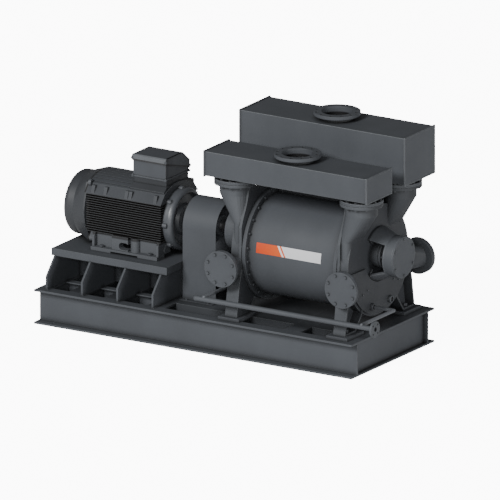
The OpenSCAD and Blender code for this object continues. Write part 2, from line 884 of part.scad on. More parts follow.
module motor_shaft() {
    shaft_r = motor_shaft_d/2;
    core_r = motor_journal_r + 10;
    color(steel) turned(shaft_z) polygon([[0, fan_x0], [shaft_r - 5, fan_x0],
        [shaft_r - 5, fan_x0 + fan_l], [motor_journal_r, fan_x0 + fan_l], [motor_journal_r, frame_x0 + 20],
        [core_r, frame_x0 + 20], [core_r, frame_x1 - 20], [motor_journal_r, frame_x1 - 20],
        [motor_journal_r, frame_x1 + motor_bearing_w], [shaft_r, frame_x1 + motor_bearing_w],
        [shaft_r, shaft_end_x], [0, shaft_end_x]]);
}

module motor_rotor_core() {
    color(steel) sleeve_x(frame_mid - core_l/2, core_l, rotor_r, motor_journal_r + 10, shaft_z);
}

module cooling_fan() {
    fan_r = 245;
    blade_n = 9;
    fan_hub_r = 75;
    shaft_r = motor_shaft_d/2 - 5;
    color("gray") difference() {
        union() {
            bar_x(fan_x0 + fan_l - 12, 12, fan_r - 20, 0, shaft_z);
            bar_x(fan_x0, fan_l, fan_hub_r, 0, shaft_z);
            for (i = [0 : blade_n - 1]) translate([0, 0, shaft_z]) rotate([i*360/blade_n, 0, 0])
                translate([fan_x0 + 10, fan_hub_r - 5, -4]) cube([fan_l - 12, fan_r - fan_hub_r, 8]);
        }
        bar_x(fan_x0 - cut, fan_l + 2*cut, shaft_r, 0, shaft_z);
    }
}

module coupling_motor_hub() {
    flange_x = shaft_end_x - coupling_flange_t;
    color(paint_dark) translate([0, 0, shaft_z]) difference() {
        union() {
            bar_x(coupling_x0, hub_l, hub_r);
            bar_x(flange_x, coupling_flange_t, coupling_d/2);
        }
        bar_x(coupling_x0 - cut, hub_l + 2*cut, motor_shaft_d/2);
        ring_x(pin_n, pin_pcd/2, 0) bar_x(flange_x - cut, coupling_flange_t + 2*cut, bush_r + clear);
    }
}

module coupling_pump_hub() {
    pin_l = coupling_flange_t + coupling_gap;
    color(paint_dark) translate([0, 0, shaft_z]) difference() {
        union() {
            bar_x(pump_hub_x0, hub_l, hub_r);
            bar_x(pump_hub_x0, coupling_flange_t, coupling_d/2);
            ring_x(pin_n, pin_pcd/2, 0) bar_x(pump_hub_x0 - pin_l, pin_l + cut, pin_r);
        }
        bar_x(pump_hub_x0 - cut, hub_l + 2*cut, hub_seat_r);
    }
}

module coupling_bushes() {
    color("black") translate([0, 0, shaft_z]) ring_x(pin_n, pin_pcd/2, 0) difference() {
        bar_x(shaft_end_x - coupling_flange_t, coupling_flange_t + coupling_gap, bush_r);
        bar_x(shaft_end_x - coupling_flange_t - cut, coupling_flange_t + coupling_gap + 2*cut, pin_r + clear);
    }
}

// Arch of the guard with upright legs, drawn in Y and Z
module arch(r) {
    translate([0, shaft_z]) circle(r);
    translate([-r, base_h]) square([2*r, shaft_z - base_h]);
}

module coupling_guard() {
    foot_w = 60;
    color(paint) {
        along_x(guard_x0, guard_l) difference() {
            arch(guard_r);
            arch(guard_r - guard_t);
        }
        both_sides() translate([guard_x0, -guard_r - foot_w, base_h]) cube([guard_l, foot_w, guard_t]);
    }
}

module pump_casing() {
    groove_w = 8;
    groove_d = 18;
    color(paint) translate([pump_x, 0, barrel_z]) difference() {
        union() {
            bar_x(-half_l, barrel_l, barrel_r);
            for (x = [-half_l, half_l - barrel_flange_t]) bar_x(x, barrel_flange_t, barrel_flange_r);
        }
        bar_x(-half_l - cut, barrel_l + 2*cut, bore_r);
        for (x = [-half_l - cut, half_l - groove_w])
            sleeve_x(x, groove_w + cut, barrel_flange_r + cut, barrel_flange_r - groove_d, 0);
    }
}

module casing_bolts() {
    head_t = 14;
    casing_head_r = 12;
    bolt_pcr = (barrel_r + barrel_flange_r)/2;
    color(steel) both_ends() translate([half_l - barrel_flange_t - head_t, 0, 0])
        ring_x(barrel_bolts, bolt_pcr, barrel_z, 180/barrel_bolts) rotate([0, 90, 0])
            cylinder(h = head_t, r = casing_head_r, $fn = 6);
}

// Port plate with its suction and discharge windows
module port_plate() {
    window_in = 190;
    window_out = impeller_r - 60;
    along_x(half_l, port_t) difference() {
        translate([0, barrel_z]) circle(port_r);
        translate([0, shaft_z]) circle(pump_shaft_d/2 + clear);
        for (side = [-1, 1]) translate([0, shaft_z]) intersection() {
            difference() {
                circle(window_out);
                circle(window_in);
            }
            polygon([[0, 0], [side*cos(20), sin(20)]*2*ring_r, [side*cos(68), sin(68)]*2*ring_r]);
        }
    }
}

module de_port_plate() {
    color(steel) drive_end() port_plate();
}

module nde_port_plate() {
    color(steel) free_end() port_plate();
}

// Neck of an end housing, from its flange down to the ring
module neck(y, z_top, shrink) {
    slot_r = ring_w/2 - shrink;
    hull() {
        translate([neck_x, y, z_top - neck_top]) cylinder(h = 2, r = neck_r - shrink, $fn = 32);
        for (side = [-1, 1]) translate([ring_x1 - ring_w/2, y + side*root_w/2, root_z + root_h - 2])
            cylinder(h = 2, r = slot_r, $fn = 32);
    }
}

// Leg of an end housing, drawn in Y and Z for the front side
module leg_outline(wall) {
    knee_z = 634;
    knee_y = 545;
    hip_z = 780;
    hip_y = 500;
    inner_y = 286;
    inner_z = 500;
    toe_y = 400;
    polygon([[wall - leg_foot, leg_z + wall], [-toe_y - wall/2, leg_z + wall],
        [-inner_y - wall, inner_z + wall/3], [-inner_y - wall, hip_z - 20 - wall],
        [wall - hip_y, hip_z - wall], [wall - knee_y, knee_z]]);
}

// Side stub from the ring to the cleanout flange
module stub() {
    flange_y = stub_reach - stub_cover_t;
    root = 90;
    depth = 60;
    hull() {
        bar_y(-flange_y + 10, 2, stub_r, stub_x, stub_z, $fn = 32);
        translate([half_l + 2, depth - ring_r, stub_z - root]) cube([ring_w - 4, depth/3, 2*root]);
    }
    bar_y(-flange_y, neck_flange_t, stub_flange_r, stub_x, stub_z);
}

// Tapering way from the cleanout flange into the ring
module stub_bore() {
    ring_mid = half_l + ring_w/2;
    depth = stub_reach - chamber_r + 60;
    skew = atan2(stub_x - ring_mid, depth);
    translate([stub_x, -stub_reach, stub_z]) rotate([0, 0, skew]) rotate([-90, 0, 0])
        cylinder(h = depth, r1 = stub_r - neck_wall, r2 = ring_w/2 - neck_wall);
}

// Lobe of the joint rim that runs up beside a neck, drawn in Y and Z
module rim_lobe(reach, z_top, side) {
    nut_room = 20;
    out = reach + neck_r + 11;
    steps = [[0, 1165], [26, 1236], [59, 1300], [94, 1370], [119, 1450], [130, z_top - nut_room]];
    polygon([for (p = concat([[reach - neck_r, barrel_z], [out, barrel_z]],
        [for (q = steps) [out - q[0], q[1]]],
        [[reach - 90, z_top - nut_room], [reach - neck_r, steps[2][1]]])) [side*p[0], p[1]]]);
}

// Outer form of an end housing
module housing_body() {
    apron_z = 895;
    apron_in = 20;
    leg_pocket = 92;
    leg_wall = 18;
    boss_r = 34;
    saddle_in = 90;
    saddle_z = neck_front_z - 40;
    along_x(half_l, ring_w) translate([0, barrel_z]) circle(ring_r);
    along_x(half_l, rim_t) {
        translate([0, barrel_z]) circle(barrel_flange_r);
        rim_lobe(neck_front, neck_front_z, -1);
        rim_lobe(neck_rear, neck_rear_z, 1);
        translate([saddle_in - neck_front, barrel_z])
            square([neck_front + neck_rear - 2*saddle_in, saddle_z - barrel_z]);
    }
    along_x(ring_x1, apron_t) difference() {
        intersection() {
            translate([0, barrel_z]) circle(ring_r - apron_in);
            translate([-ring_r, 0]) square([2*ring_r, apron_z]);
        }
        translate([0, shaft_z]) circle(bracket_r + 6);
    }
    for (n = [[-neck_front, neck_front_z], [neck_rear, neck_rear_z]]) {
        neck(n[0], n[1], 0);
        translate([neck_x, n[0], n[1] - neck_top]) cylinder(h = neck_top, r = neck_r);
        translate([neck_x, n[0], n[1]]) cylinder(h = neck_flange_t, r = neck_flange_r);
        for (side = [-1, 1]) translate([ring_x1 - ring_w/2, n[0] + side*root_w/2, root_z])
            cylinder(h = root_h, r = ring_w/2);
        translate([half_l, n[0] - root_w/2, root_z]) cube([ring_w, root_w, root_h]);
    }
    both_sides() {
        difference() {
            along_x(leg_x - leg_w/2, leg_w) leg_outline(0);
            along_x(leg_x + leg_w/2 - leg_pocket, leg_pocket + cut) leg_outline(leg_wall);
        }
        stub();
        bar_x(ring_x1 + apron_t, port_boss_l, boss_r, -branch_reach, branch_z);
    }
}

module housing() {
    slot_w = 120;
    slot_h = 87;
    web_t = 30;
    boss_l = 60;
    difference() {
        housing_body();
        along_x(half_l - cut, ring_w - housing_wall + cut) difference() {
            translate([0, barrel_z]) circle(chamber_r);
            translate([0, shaft_z]) circle(gland_r);
            translate([-web_t/2, barrel_z - ring_r]) square([web_t, 2*ring_r]);
        }
        along_x(half_l - cut, port_t + cut) translate([0, barrel_z]) circle(port_r);
        bar_x(half_l, ring_w + boss_l, packing_r, 0, shaft_z);
        for (n = [[-neck_front, neck_front_z], [neck_rear, neck_rear_z]]) {
            neck(n[0], n[1], neck_wall);
            translate([neck_x, n[0], n[1] - neck_top])
                cylinder(h = neck_top + neck_flange_t + cut, r = neck_r - neck_wall);
            translate([half_l + housing_wall, n[0] - slot_w/2, root_z + root_h - slot_h])
                cube([ring_w - 2*housing_wall, slot_w, slot_h + 13]);
            translate([neck_x, n[0], n[1] - cut]) ring_z(neck_bolts, neck_pcd/2, 180/neck_bolts)
                cylinder(h = neck_flange_t + 2*cut, r = bolt_r);
        }
        both_sides() stub_bore();
    }
}

module de_housing() {
    color(paint) drive_end() housing();
}

module nde_housing() {
    color(paint) free_end() housing();
}

// One curved vane, drawn in Y and Z about the shaft
module vane() {
    bend_r = 330;
    intersection() {
        difference() {
            circle(impeller_r);
            circle(impeller_hub_r - 4);
        }
        translate([impeller_hub_r, -bend_r + 20]) difference() {
            circle(bend_r + vane_t/2);
            circle(bend_r - vane_t/2);
        }
        square(2*impeller_r);
    }
}

module impeller() {
    shroud_t = 24;
    color("darkgray") translate([pump_x, 0, shaft_z]) {
        difference() {
            union() {
                along_x(-impeller_l/2, impeller_l) {
                    circle(impeller_hub_r);
                    for (i = [0 : vane_n - 1]) rotate(i*360/vane_n) vane();
                }
                bar_x(-shroud_t/2, shroud_t, impeller_r);
            }
            bar_x(-half_l, barrel_l, pump_shaft_d/2);
        }
    }
}

module pump_shaft() {
    big_r = pump_shaft_d/2;
    journal_r = pump_journal_d/2;
    far = bearing_x1 - 4;
    color(steel) translate([pump_x, 0, 0]) turned(shaft_z) polygon([
        [0, pump_hub_x0 - pump_x], [hub_seat_r, pump_hub_x0 - pump_x], [hub_seat_r, -cover_x1 - 20],
        [journal_r, -cover_x1 - 20], [journal_r, -journal_x0], [big_r, -journal_x0],
        [big_r, journal_x0], [journal_r, journal_x0], [journal_r, far], [0, far]]);
}

// Lantern bracket with its bearing housing
module bearing_bracket() {
    seat_in = gland_r + 40;
    web = 10;
    lip = 14;
    window_y = 500;
    window_z = 460;
    color(paint) difference() {
        turned(shaft_z) polygon([
            [seat_in, ring_x1], [bracket_r, ring_x1], [bracket_r, ring_x1 + apron_t],
            [bearing_r, bearing_x0], [bearing_r, bearing_x1], [pump_bearing_r, bearing_x1],
            [pump_bearing_r, bearing_x0 + lip], [pump_journal_d/2 + 12, bearing_x0 + lip],
            [pump_journal_d/2 + 12, bearing_x0], [bearing_r - bracket_wall, bearing_x0],
            [bracket_r - bracket_wall, ring_x1 + apron_t], [seat_in, ring_x1 + apron_t]]);
        for (side = [-1, 1]) along_x(ring_x1 - cut, bracket_l - web + cut) translate([0, shaft_z])
            polygon([[0, 0], [side*window_y, window_z], [side*window_y, -window_z]]);
    }
}

module de_bearing_bracket() {
    drive_end() bearing_bracket();
}

module nde_bearing_bracket() {
    free_end() bearing_bracket();
}

module pump_bearing_outers() {
    color(steel) both_ends()
        sleeve_x(bearing_x0 + 14, bearing_l - 14, pump_bearing_r, pump_race_r + run, shaft_z);
}

module pump_bearing_inners() {
    color(steel) both_ends()
        sleeve_x(bearing_x0 + 16, bearing_l - 20, pump_race_r, pump_journal_d/2, shaft_z);
}

module pump_bearing_covers() {
    color(paint) {
        free_end() bar_x(bearing_x1, bearing_cover_t, bearing_r, 0, shaft_z);
        drive_end() sleeve_x(bearing_x1, bearing_cover_t, bearing_r, pump_journal_d/2 + run, shaft_z);
    }
}

module packing_rings() {
    color("tan") both_ends()
        sleeve_x(half_l + port_t + 10, ring_w - port_t - 10, packing_r, pump_shaft_d/2 + run, shaft_z);
}

module packing_glands() {
    gland_l = 96;
    rim_t = 14;
    waist = 8;
    color(steel) both_ends() turned(shaft_z) polygon([
        [pump_shaft_d/2 + clear, ring_x1], [gland_r, ring_x1], [gland_r, ring_x1 + gland_l - 2*rim_t],
        [gland_r - waist, ring_x1 + gland_l - 2*rim_t], [gland_r - waist, ring_x1 + gland_l - rim_t],
        [gland_r, ring_x1 + gland_l - rim_t], [gland_r, ring_x1 + gland_l],
        [pump_shaft_d/2 + clear, ring_x1 + gland_l]]);
}

// A cleanout cover and its bolts, at each of the four stubs
module at_stubs() {
    both_ends() both_sides() translate([stub_x, 0, stub_z]) children();
}

module cleanout_covers() {
    color(paint) at_stubs() bar_y(-stub_reach, stub_cover_t, stub_flange_r);
}

module cleanout_bolts() {
    head_t = 12;
    stub_pcr = stub_flange_r - 28;
    color(steel) at_stubs() translate([0, -stub_reach - head_t, 0]) ring_y(8, stub_pcr, 22.5)
        rotate([-90, 0, 0]) cylinder(h = head_t, r = bolt_r + 3, $fn = 6);
}

// Welded box header with a nozzle on top and two neck connections below
module header(l, y, d, z, h, neck_y, seat_z) {
    nozzle_x = header_x0 + l/2;
    nozzle_out = nozzle_bore + nozzle_wall;
    top = z + h;
    plate_t = 14;
    color(paint) difference() {
        union() {
            translate([header_x0 + plate_t, y - d/2, z]) cube([l - 2*plate_t, d, h]);
            for (x = [header_x0, header_x0 + l - plate_t])
                translate([x, y - d/2 - end_lip, z - end_lip])
                    cube([plate_t, d + 2*end_lip, h + 2*end_lip]);
            translate([nozzle_x, y, top]) cylinder(h = nozzle_h, r = nozzle_out);
            translate([nozzle_x, y, top + nozzle_h - nozzle_flange_t])
                cylinder(h = nozzle_flange_t, r = nozzle_flange_r);
            for (side = [-1, 1]) translate([pump_x + side*neck_x, neck_y, seat_z]) {
                cylinder(h = neck_flange_t, r = neck_flange_r);
                cylinder(h = z - seat_z, r = neck_r - 8);
            }
        }
        translate([header_x0 + plate_t, y - d/2 + header_wall, z + header_wall])
            cube([l - 2*plate_t, d - 2*header_wall, h - 2*header_wall]);
        translate([nozzle_x, y, top - header_wall - cut])
            cylinder(h = nozzle_h + header_wall + 2*cut, r = nozzle_bore);
        translate([nozzle_x, y, top + nozzle_h - nozzle_flange_t - cut]) ring_z(12, nozzle_pcd/2, 15)
            cylinder(h = nozzle_flange_t + 2*cut, d = nozzle_hole_d);
        for (side = [-1, 1]) translate([pump_x + side*neck_x, neck_y, seat_z - cut]) {
            cylinder(h = z - seat_z + header_wall + 2*cut, r = neck_r - neck_wall);
            ring_z(neck_bolts, neck_pcd/2, 180/neck_bolts) cylinder(h = neck_flange_t + 2*cut, r = bolt_r);
        }
    }
}

module front_header() {
    header(front_l, front_y, front_d, front_z, front_h, -neck_front, front_seat_z);
}

module rear_header() {
    header(rear_l, rear_y, rear_d, rear_z, rear_h, neck_rear, rear_seat_z);
}

// Places a child on each of the four neck flange seats
module at_necks() {
    for (side = [-1, 1]) {
        translate([pump_x + side*neck_x, -neck_front, neck_front_z]) children();
        translate([pump_x + side*neck_x, neck_rear, neck_rear_z]) children();
    }
}

module header_gaskets() {
    color("black") at_necks() translate([0, 0, neck_flange_t]) difference() {
        cylinder(h = gasket_t, r = neck_pcd/2 - bolt_r - 2);
        translate([0, 0, -cut]) cylinder(h = gasket_t + 2*cut, r = neck_r - neck_wall);
    }
}

module header_bolts() {
    head_t = 12;
    color(steel) at_necks() ring_z(neck_bolts, neck_pcd/2, 180/neck_bolts) {
        cylinder(h = 2*neck_flange_t + gasket_t, r = bolt_r);
        translate([0, 0, -head_t]) cylinder(h = head_t, r = bolt_r + 6, $fn = 6);
        translate([0, 0, 2*neck_flange_t + gasket_t]) cylinder(h = head_t, r = bolt_r + 6, $fn = 6);
    }
}

module service_pipe() {
    flange_t = 20;
    color(paint) translate([0, -pipe_reach, pipe_z]) difference() {
        union() {
            bar_x(pipe_x0, pipe_x1 - pipe_x0, pipe_d/2);
            bar_x(pipe_x1 - flange_t, flange_t, pipe_flange_d/2);
        }
        bar_x(pipe_x0 + 6, pipe_x1 - pipe_x0, pipe_bore/2);
        ring_x(4, pipe_pcd/2, 0, 45) bar_x(pipe_x1 - flange_t - cut, flange_t + 2*cut, 9);
    }
}

// Branch from the service pipe, across and into an end housing
module branch(x, target) {
    y0 = -pipe_reach;
    bend_y = -branch_reach;
    bar_y(y0, bend_y - y0, branch_d/2, x, branch_z);
    for (y = [y0, bend_y]) translate([x, y, branch_z]) sphere(d = branch_d);
    bar_x(min(x, target), abs(target - x), branch_d/2, bend_y, branch_z);
}

module service_branches() {
    color(paint) difference() {
        union() {
            branch(branch_x0, pump_x - ring_x1 - apron_t - port_boss_l);
            branch(branch_x1, pump_x + ring_x1 + apron_t + port_boss_l);
        }
        bar_x(pipe_x0, pipe_x1 - pipe_x0, pipe_d/2, -pipe_reach, pipe_z);
    }
}

base_front_beam();
base_rear_beam();
base_end_beams();
base_cross_members();
base_deck_trays();
pedestal_ribs();
pedestal_stringers();
motor_bed_plate();
pump_foot_pads();
motor_frame();
stator_core();
stator_windings();
motor_de_shield();
motor_nde_shield();
fan_cover();
motor_bearing_outers();
terminal_box();
terminal_box_lid();
cable_gland();
lifting_eyes();
motor_foot_bolts();
motor_shaft();
motor_rotor_core();
motor_bearing_inners();
cooling_fan();
coupling_motor_hub();
coupling_pump_hub();
coupling_bushes();
coupling_guard();
pump_casing();
casing_bolts();
de_port_plate();
nde_port_plate();
de_housing();
nde_housing();
impeller();
pump_shaft();
de_bearing_bracket();
nde_bearing_bracket();
pump_bearing_outers();
pump_bearing_inners();
pump_bearing_covers();
packing_rings();
packing_glands();
cleanout_covers();
cleanout_bolts();
front_header();
rear_header();
header_gaskets();
header_bolts();
service_pipe();
service_branches();
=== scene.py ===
"""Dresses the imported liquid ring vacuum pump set: finishes, small fittings, stage and camera."""
import logging
import math
from dataclasses import dataclass, field
from enum import Enum
from typing import Any, Iterable, Sequence

import bmesh
import bpy
from mathutils import Matrix, Vector


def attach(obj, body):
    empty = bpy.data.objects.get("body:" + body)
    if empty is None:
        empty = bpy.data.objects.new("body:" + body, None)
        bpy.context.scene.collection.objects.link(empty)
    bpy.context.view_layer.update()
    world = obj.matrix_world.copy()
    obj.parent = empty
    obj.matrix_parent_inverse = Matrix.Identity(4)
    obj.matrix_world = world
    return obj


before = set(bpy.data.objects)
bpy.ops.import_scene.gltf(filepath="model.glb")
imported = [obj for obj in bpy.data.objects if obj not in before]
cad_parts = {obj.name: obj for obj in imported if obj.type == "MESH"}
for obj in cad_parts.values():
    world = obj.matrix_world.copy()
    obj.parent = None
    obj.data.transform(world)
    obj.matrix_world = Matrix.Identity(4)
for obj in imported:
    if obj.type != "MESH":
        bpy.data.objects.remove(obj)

LOG = logging.getLogger("pump_set")
RGB = tuple[float, float, float]
Span = tuple[float, float]
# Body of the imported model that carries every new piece
STANDING_SET = "set"
# The two ways along an axis, and the direction upwards
WAYS = (-1.0, 1.0)
UPWARDS = (0.0, 0.0, 1.0)
# Turns between faces, in radians, over which an edge is rounded
SLIGHT_TURN = 0.3
SQUARE_TURN = 1.0
# A lug's corner radius, hole radius and hole height as shares of its height, and its edges' rounding
LUG_CORNER = 0.55
LUG_HOLE = 0.24
LUG_HOLE_UP = 0.55
LUG_EDGE = 0.0015


class Slot(Enum):
    """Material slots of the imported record."""

    GREY_PAINT = "grey_paint"
    MOTOR_PAINT = "motor_paint"
    BLACK_RUBBER = "black_rubber"


class Sock:
    """A shader socket on which sums can be written."""

    def __init__(self, shader: "Shader", socket: bpy.types.NodeSocket) -> None:
        """Keeps the shader and the socket that the sums start from."""
        self.shader = shader
        self.socket = socket

    def _sum(self, operation: str, first: Any, second: Any) -> "Sock":
        """Adds a Math node.

        Args:
            operation: The Math node's operation.
            first: Socket or number on the first input.
            second: Socket or number on the second input.

        Returns:
            The node's result.
        """
        return self.shader.node("ShaderNodeMath", {"operation": operation}, {0: first, 1: second})[0]

    def __add__(self, other: Any) -> "Sock":
        """Sum."""
        return self._sum("ADD", self, other)

    def __radd__(self, other: Any) -> "Sock":
        """Sum with a number in front."""
        return self._sum("ADD", other, self)

    def __sub__(self, other: Any) -> "Sock":
        """Difference."""
        return self._sum("SUBTRACT", self, other)

    def __rsub__(self, other: Any) -> "Sock":
        """Difference from a number."""
        return self._sum("SUBTRACT", other, self)

    def __mul__(self, other: Any) -> "Sock":
        """Product."""
        return self._sum("MULTIPLY", self, other)

    def __rmul__(self, other: Any) -> "Sock":
        """Product with a number in front."""
        return self._sum("MULTIPLY", other, self)

    def __pow__(self, other: Any) -> "Sock":
        """Power."""
        return self._sum("POWER", self, other)

    def __gt__(self, other: Any) -> "Sock":
        """One where the value is greater, else nought."""
        return self._sum("GREATER_THAN", self, other)

    def __lt__(self, other: Any) -> "Sock":
        """One where the value is less, else nought."""
        return self._sum("LESS_THAN", self, other)

    def band(self, low: float, high: float) -> "Sock":
        """Maps a span of the value to nought and one.

        Args:
            low: Value that becomes nought.
            high: Value that becomes one.

        Returns:
            The value between nought and one.
        """
        return self.shader.node("ShaderNodeMapRange", {"clamp": True},
                                {"Value": self, "From Min": low, "From Max": high})["Result"]


class Shader:
    """One node material and the ways to add nodes to it."""

    def __init__(self, name: str) -> None:
        """Starts a material with its own shader and output."""
        self.material = bpy.data.materials.new(name)
        self.material.use_nodes = True
        self.tree = self.material.node_tree
        self.base = self.tree.nodes["Principled BSDF"]

    def node(self, kind: str, settings: dict[str, Any], inputs: dict[Any, Any]) -> "Outs":
        """Adds any node.

        Args:
            kind: The node's type.
            settings: Its settings, set first.
            inputs: Values or sockets by input name or number.

        Returns:
            The node's outputs.
        """
        made = self.tree.nodes.new(kind)
        for key, value in settings.items():
            setattr(made, key, value)
        for key, value in inputs.items():
            self.put(made.inputs[key], value)
        return Outs(self, made)

    def put(self, target: bpy.types.NodeSocket, value: Any) -> None:
        """Links a socket or sets a value on an input.

        Args:
            target: The input.
            value: A socket, number, colour or vector.
        """
        if isinstance(value, Sock):
            self.tree.links.new(value.socket, target)
        elif isinstance(value, tuple) and target.type == "RGBA":
            target.default_value = (*value, 1.0)
        else:
            target.default_value = value

    def set(self, **values: Any) -> None:
        """Sets inputs of the main shader, with _ for a blank in a name."""
        for key, value in values.items():
            self.put(self.base.inputs[key.replace("_", " ")], value)

    def coords(self, scale: Sequence[float] = (1.0, 1.0, 1.0)) -> Sock:
        """Object coordinates, stretched by a scale."""
        place = self.node("ShaderNodeTexCoord", {}, {})["Object"]
        return self.node("ShaderNodeMapping", {}, {"Vector": place, "Scale": tuple(scale)})["Vector"]

    def place(self) -> "Outs":
        """Object coordinates, axis by axis."""
        return self.node("ShaderNodeSeparateXYZ", {}, {0: self.coords()})

    def noise(self, scale: float, detail: float = 3.0, rough: float = 0.55,
              stretch: Sequence[float] = (1.0, 1.0, 1.0)) -> Sock:
        """Cloudy noise on object coordinates.

        Args:
            scale: Waves per metre.
            detail: Octaves.
            rough: Weight of the finer octaves.
            stretch: Scale of each axis.

        Returns:
            The noise, about a half.
        """
        return self.node("ShaderNodeTexNoise", {}, {"Vector": self.coords(stretch), "Scale": scale,
                                                    "Detail": detail, "Roughness": rough})[0]

    def blend(self, share: Any, first: Any, second: Any) -> Sock:
        """Mixes two colours by a share."""
        mixed = self.node("ShaderNodeMix", {"data_type": "RGBA"}, {"Factor": share, 6: first, 7: second})
        return mixed[2]

    def bump(self, height: Sock, distance: float, strength: float, normal: Any = None) -> Sock:
        """Bumps the surface.

        Args:
            height: Height from nought to one.
            distance: Height of one, in metres.
            strength: Share of the bump that shows.
            normal: Normal that the bump starts from.

        Returns:
            The bumped normal.
        """
        inputs = {"Height": height, "Distance": distance, "Strength": strength}
        if normal is not None:
            inputs["Normal"] = normal
        return self.node("ShaderNodeBump", {}, inputs)["Normal"]

    def openness(self, distance: float) -> Sock:
        """Share of the open sky over a spot, from nought in a corner to one.

        Args:
            distance: How far off a neighbour still shades, in metres.

        Returns:
            The share.
        """
        return self.node("ShaderNodeAmbientOcclusion", {"samples": 6}, {"Distance": distance})["AO"]

    def soft_edges(self, radius: float) -> tuple[Sock, Sock]:
        """Rounds the edges in the shading.

        Args:
            radius: Radius of the rounding in metres.

        Returns:
            The rounded normal and a mask that is one on the outer edges.
        """
        rounded = self.node("ShaderNodeBevel", {"samples": 6}, {"Radius": radius})["Normal"]
        flat = self.node("ShaderNodeNewGeometry", {}, {})["Normal"]
        facing = self.node("ShaderNodeVectorMath", {"operation": "DOT_PRODUCT"},
                           {0: rounded, 1: flat})["Value"]
        outer = self.openness(2.0 * radius).band(0.6, 0.9)
        return rounded, (1 - facing).band(0.01, 0.18) * outer


class Outs:
    """The outputs of a node, by name or number."""

    def __init__(self, shader: Shader, made: bpy.types.Node) -> None:
        """Keeps the node."""
        self.shader = shader
        self.made = made

    def __getitem__(self, key: Any) -> Sock:
        """An output as a socket for sums."""
        return Sock(self.shader, self.made.outputs[key])


@dataclass(frozen=True)
class Paint:
    """Sprayed machine paint over steel plate or a casting, with painted shade in recesses and corners and a
    painted highlight on its outer edges.
    """

    name: str
    colour: RGB = (0.0465, 0.0502, 0.0562)
    # Tone of the painted highlight on outer edges
    edge: RGB = (0.088, 0.093, 0.100)
    rough: float = 0.55
    mottle: float = 0.10
    grain: float = 320.0
    grain_height: float = 0.00006
    cast_height: float = 0.0
    edge_radius: float = 0.005
    edge_top: float = 10.0
    # Painted shade in recesses: its tone, how far off a neighbour shades, and the span of open sky it covers
    recess_shade: RGB = (0.036, 0.0385, 0.0425)
    recess_shade_reach: float = 0.30
    recess_shade_band: Span = (0.10, 0.50)
    # Painted contact shadow in tight corners and grooves
    contact_shadow: RGB = (0.012, 0.0125, 0.0135)
    contact_shadow_reach: float = 0.05
    contact_shadow_band: Span = (0.36, 0.92)
    gloss: float = 0.2
    cloud_scale: float = 1.7
    streak_scale: float = 5.0
    speck_scale: float = 210.0
    speck_level: float = 0.735
    wear_scale: float = 38.0
    cast_scale: float = 46.0

    def build(self) -> bpy.types.Material:
        """Makes the paint's material."""
        shader = Shader(self.name)
        normal, edges = shader.soft_edges(self.edge_radius)
        clouds = shader.noise(self.cloud_scale, 4.0).band(0.32, 0.68)
        streaks = shader.noise(self.streak_scale, 5.0, 0.62, (1.0, 1.0, 0.28)).band(0.35, 0.7)
        dark = tuple(c * (1.0 - self.mottle) for c in self.colour)
        light = tuple(c * (1.0 + self.mottle) for c in self.colour)
        body = shader.blend(clouds * 0.7 + streaks * 0.3, dark, light)
        specks = (shader.noise(self.speck_scale, 2.0) > self.speck_level) * 0.4
        body = shader.blend(specks, body, light)
        # Painted shade in recesses
        body = shader.blend(shader.openness(self.recess_shade_reach).band(*self.recess_shade_band), self.recess_shade, body)
        # Painted contact shadow in tight corners
        contact_shadow_mask = shader.openness(self.contact_shadow_reach).band(*self.contact_shadow_band)
        body = self.shade(shader, shader.blend(contact_shadow_mask, self.contact_shadow, body))
        # Painted highlight on outer edges, broken up by noise like wear, and kept below edge_top
        wear_and_edge_highlight = edges * (0.55 + 0.45 * shader.noise(self.wear_scale, 3.0).band(0.35, 0.62))
        wear_and_edge_highlight = wear_and_edge_highlight * (shader.place()["Z"] < self.edge_top)
        shader.set(Base_Color=shader.blend(wear_and_edge_highlight, body, self.edge))
        shader.set(Roughness=self.rough + 0.10 * streaks - 0.06 * clouds)
        normal = shader.bump(shader.noise(self.grain, 2.0), self.grain_height, 0.5, normal)
        if self.cast_height:
            normal = shader.bump(shader.noise(self.cast_scale, 4.0, 0.6), self.cast_height, 0.6, normal)
        shader.set(Normal=normal, Specular_IOR_Level=self.gloss)
        return shader.material

    def shade(self, shader: Shader, body: Sock) -> Sock:
        """Shades parts of the paint; plain paint has none."""
        return body


@dataclass(frozen=True)
class FinnedPaint(Paint):
    """Paint of the finned frame: a darker copy of the motor paint as painted shade, with painted shade
    between the fins, painted light on the feet and a dark end joint.
    """

    fin_y: float = 0.20
    fin_z: Span = (0.806, 1.173)
    fin_reach: float = 0.06
    fin_band: Span = (0.35, 0.85)
    # Painted shade between the fins: its tone in the open and at the roots; the root tone also darkens the
    # joint
    fin_tip: RGB = (0.021, 0.0215, 0.0228)
    fin_root: RGB = (0.0080, 0.0070, 0.0062)
    foot: RGB = (0.060, 0.064, 0.070)
    foot_z: float = 0.800
    foot_share: float = 0.8
    joint_x: Span = (-1.383, -1.370)
    joint_share: float = 0.85

    def shade(self, shader: Shader, body: Sock) -> Sock:
        """Paints shade between the fins and light on the feet, and darkens the joint to the fan cover.

        Args:
            shader: The paint's shader.
            body: The paint's colour.

        Returns:
            The darkened colour.
        """
        place = shader.place()
        # Painted light: the feet take a lighter tone
        body = shader.blend((place["Z"] < self.foot_z) * self.foot_share, body, self.foot)
        fins = (place["Z"] > self.fin_z[0]) * (place["Z"] < self.fin_z[1])
        fins = fins * (place["Y"] * place["Y"] > self.fin_y ** 2)
        # Painted shade between the fins, darkest where the fins crowd in
        open_air = shader.openness(self.fin_reach).band(*self.fin_band)
        fin_shade = shader.blend(open_air, self.fin_root, self.fin_tip)
        body = shader.blend(fins, body, fin_shade)
        joint = (place["X"] > self.joint_x[0]) * (place["X"] < self.joint_x[1])
        return shader.blend(joint * self.joint_share, body, self.fin_root)


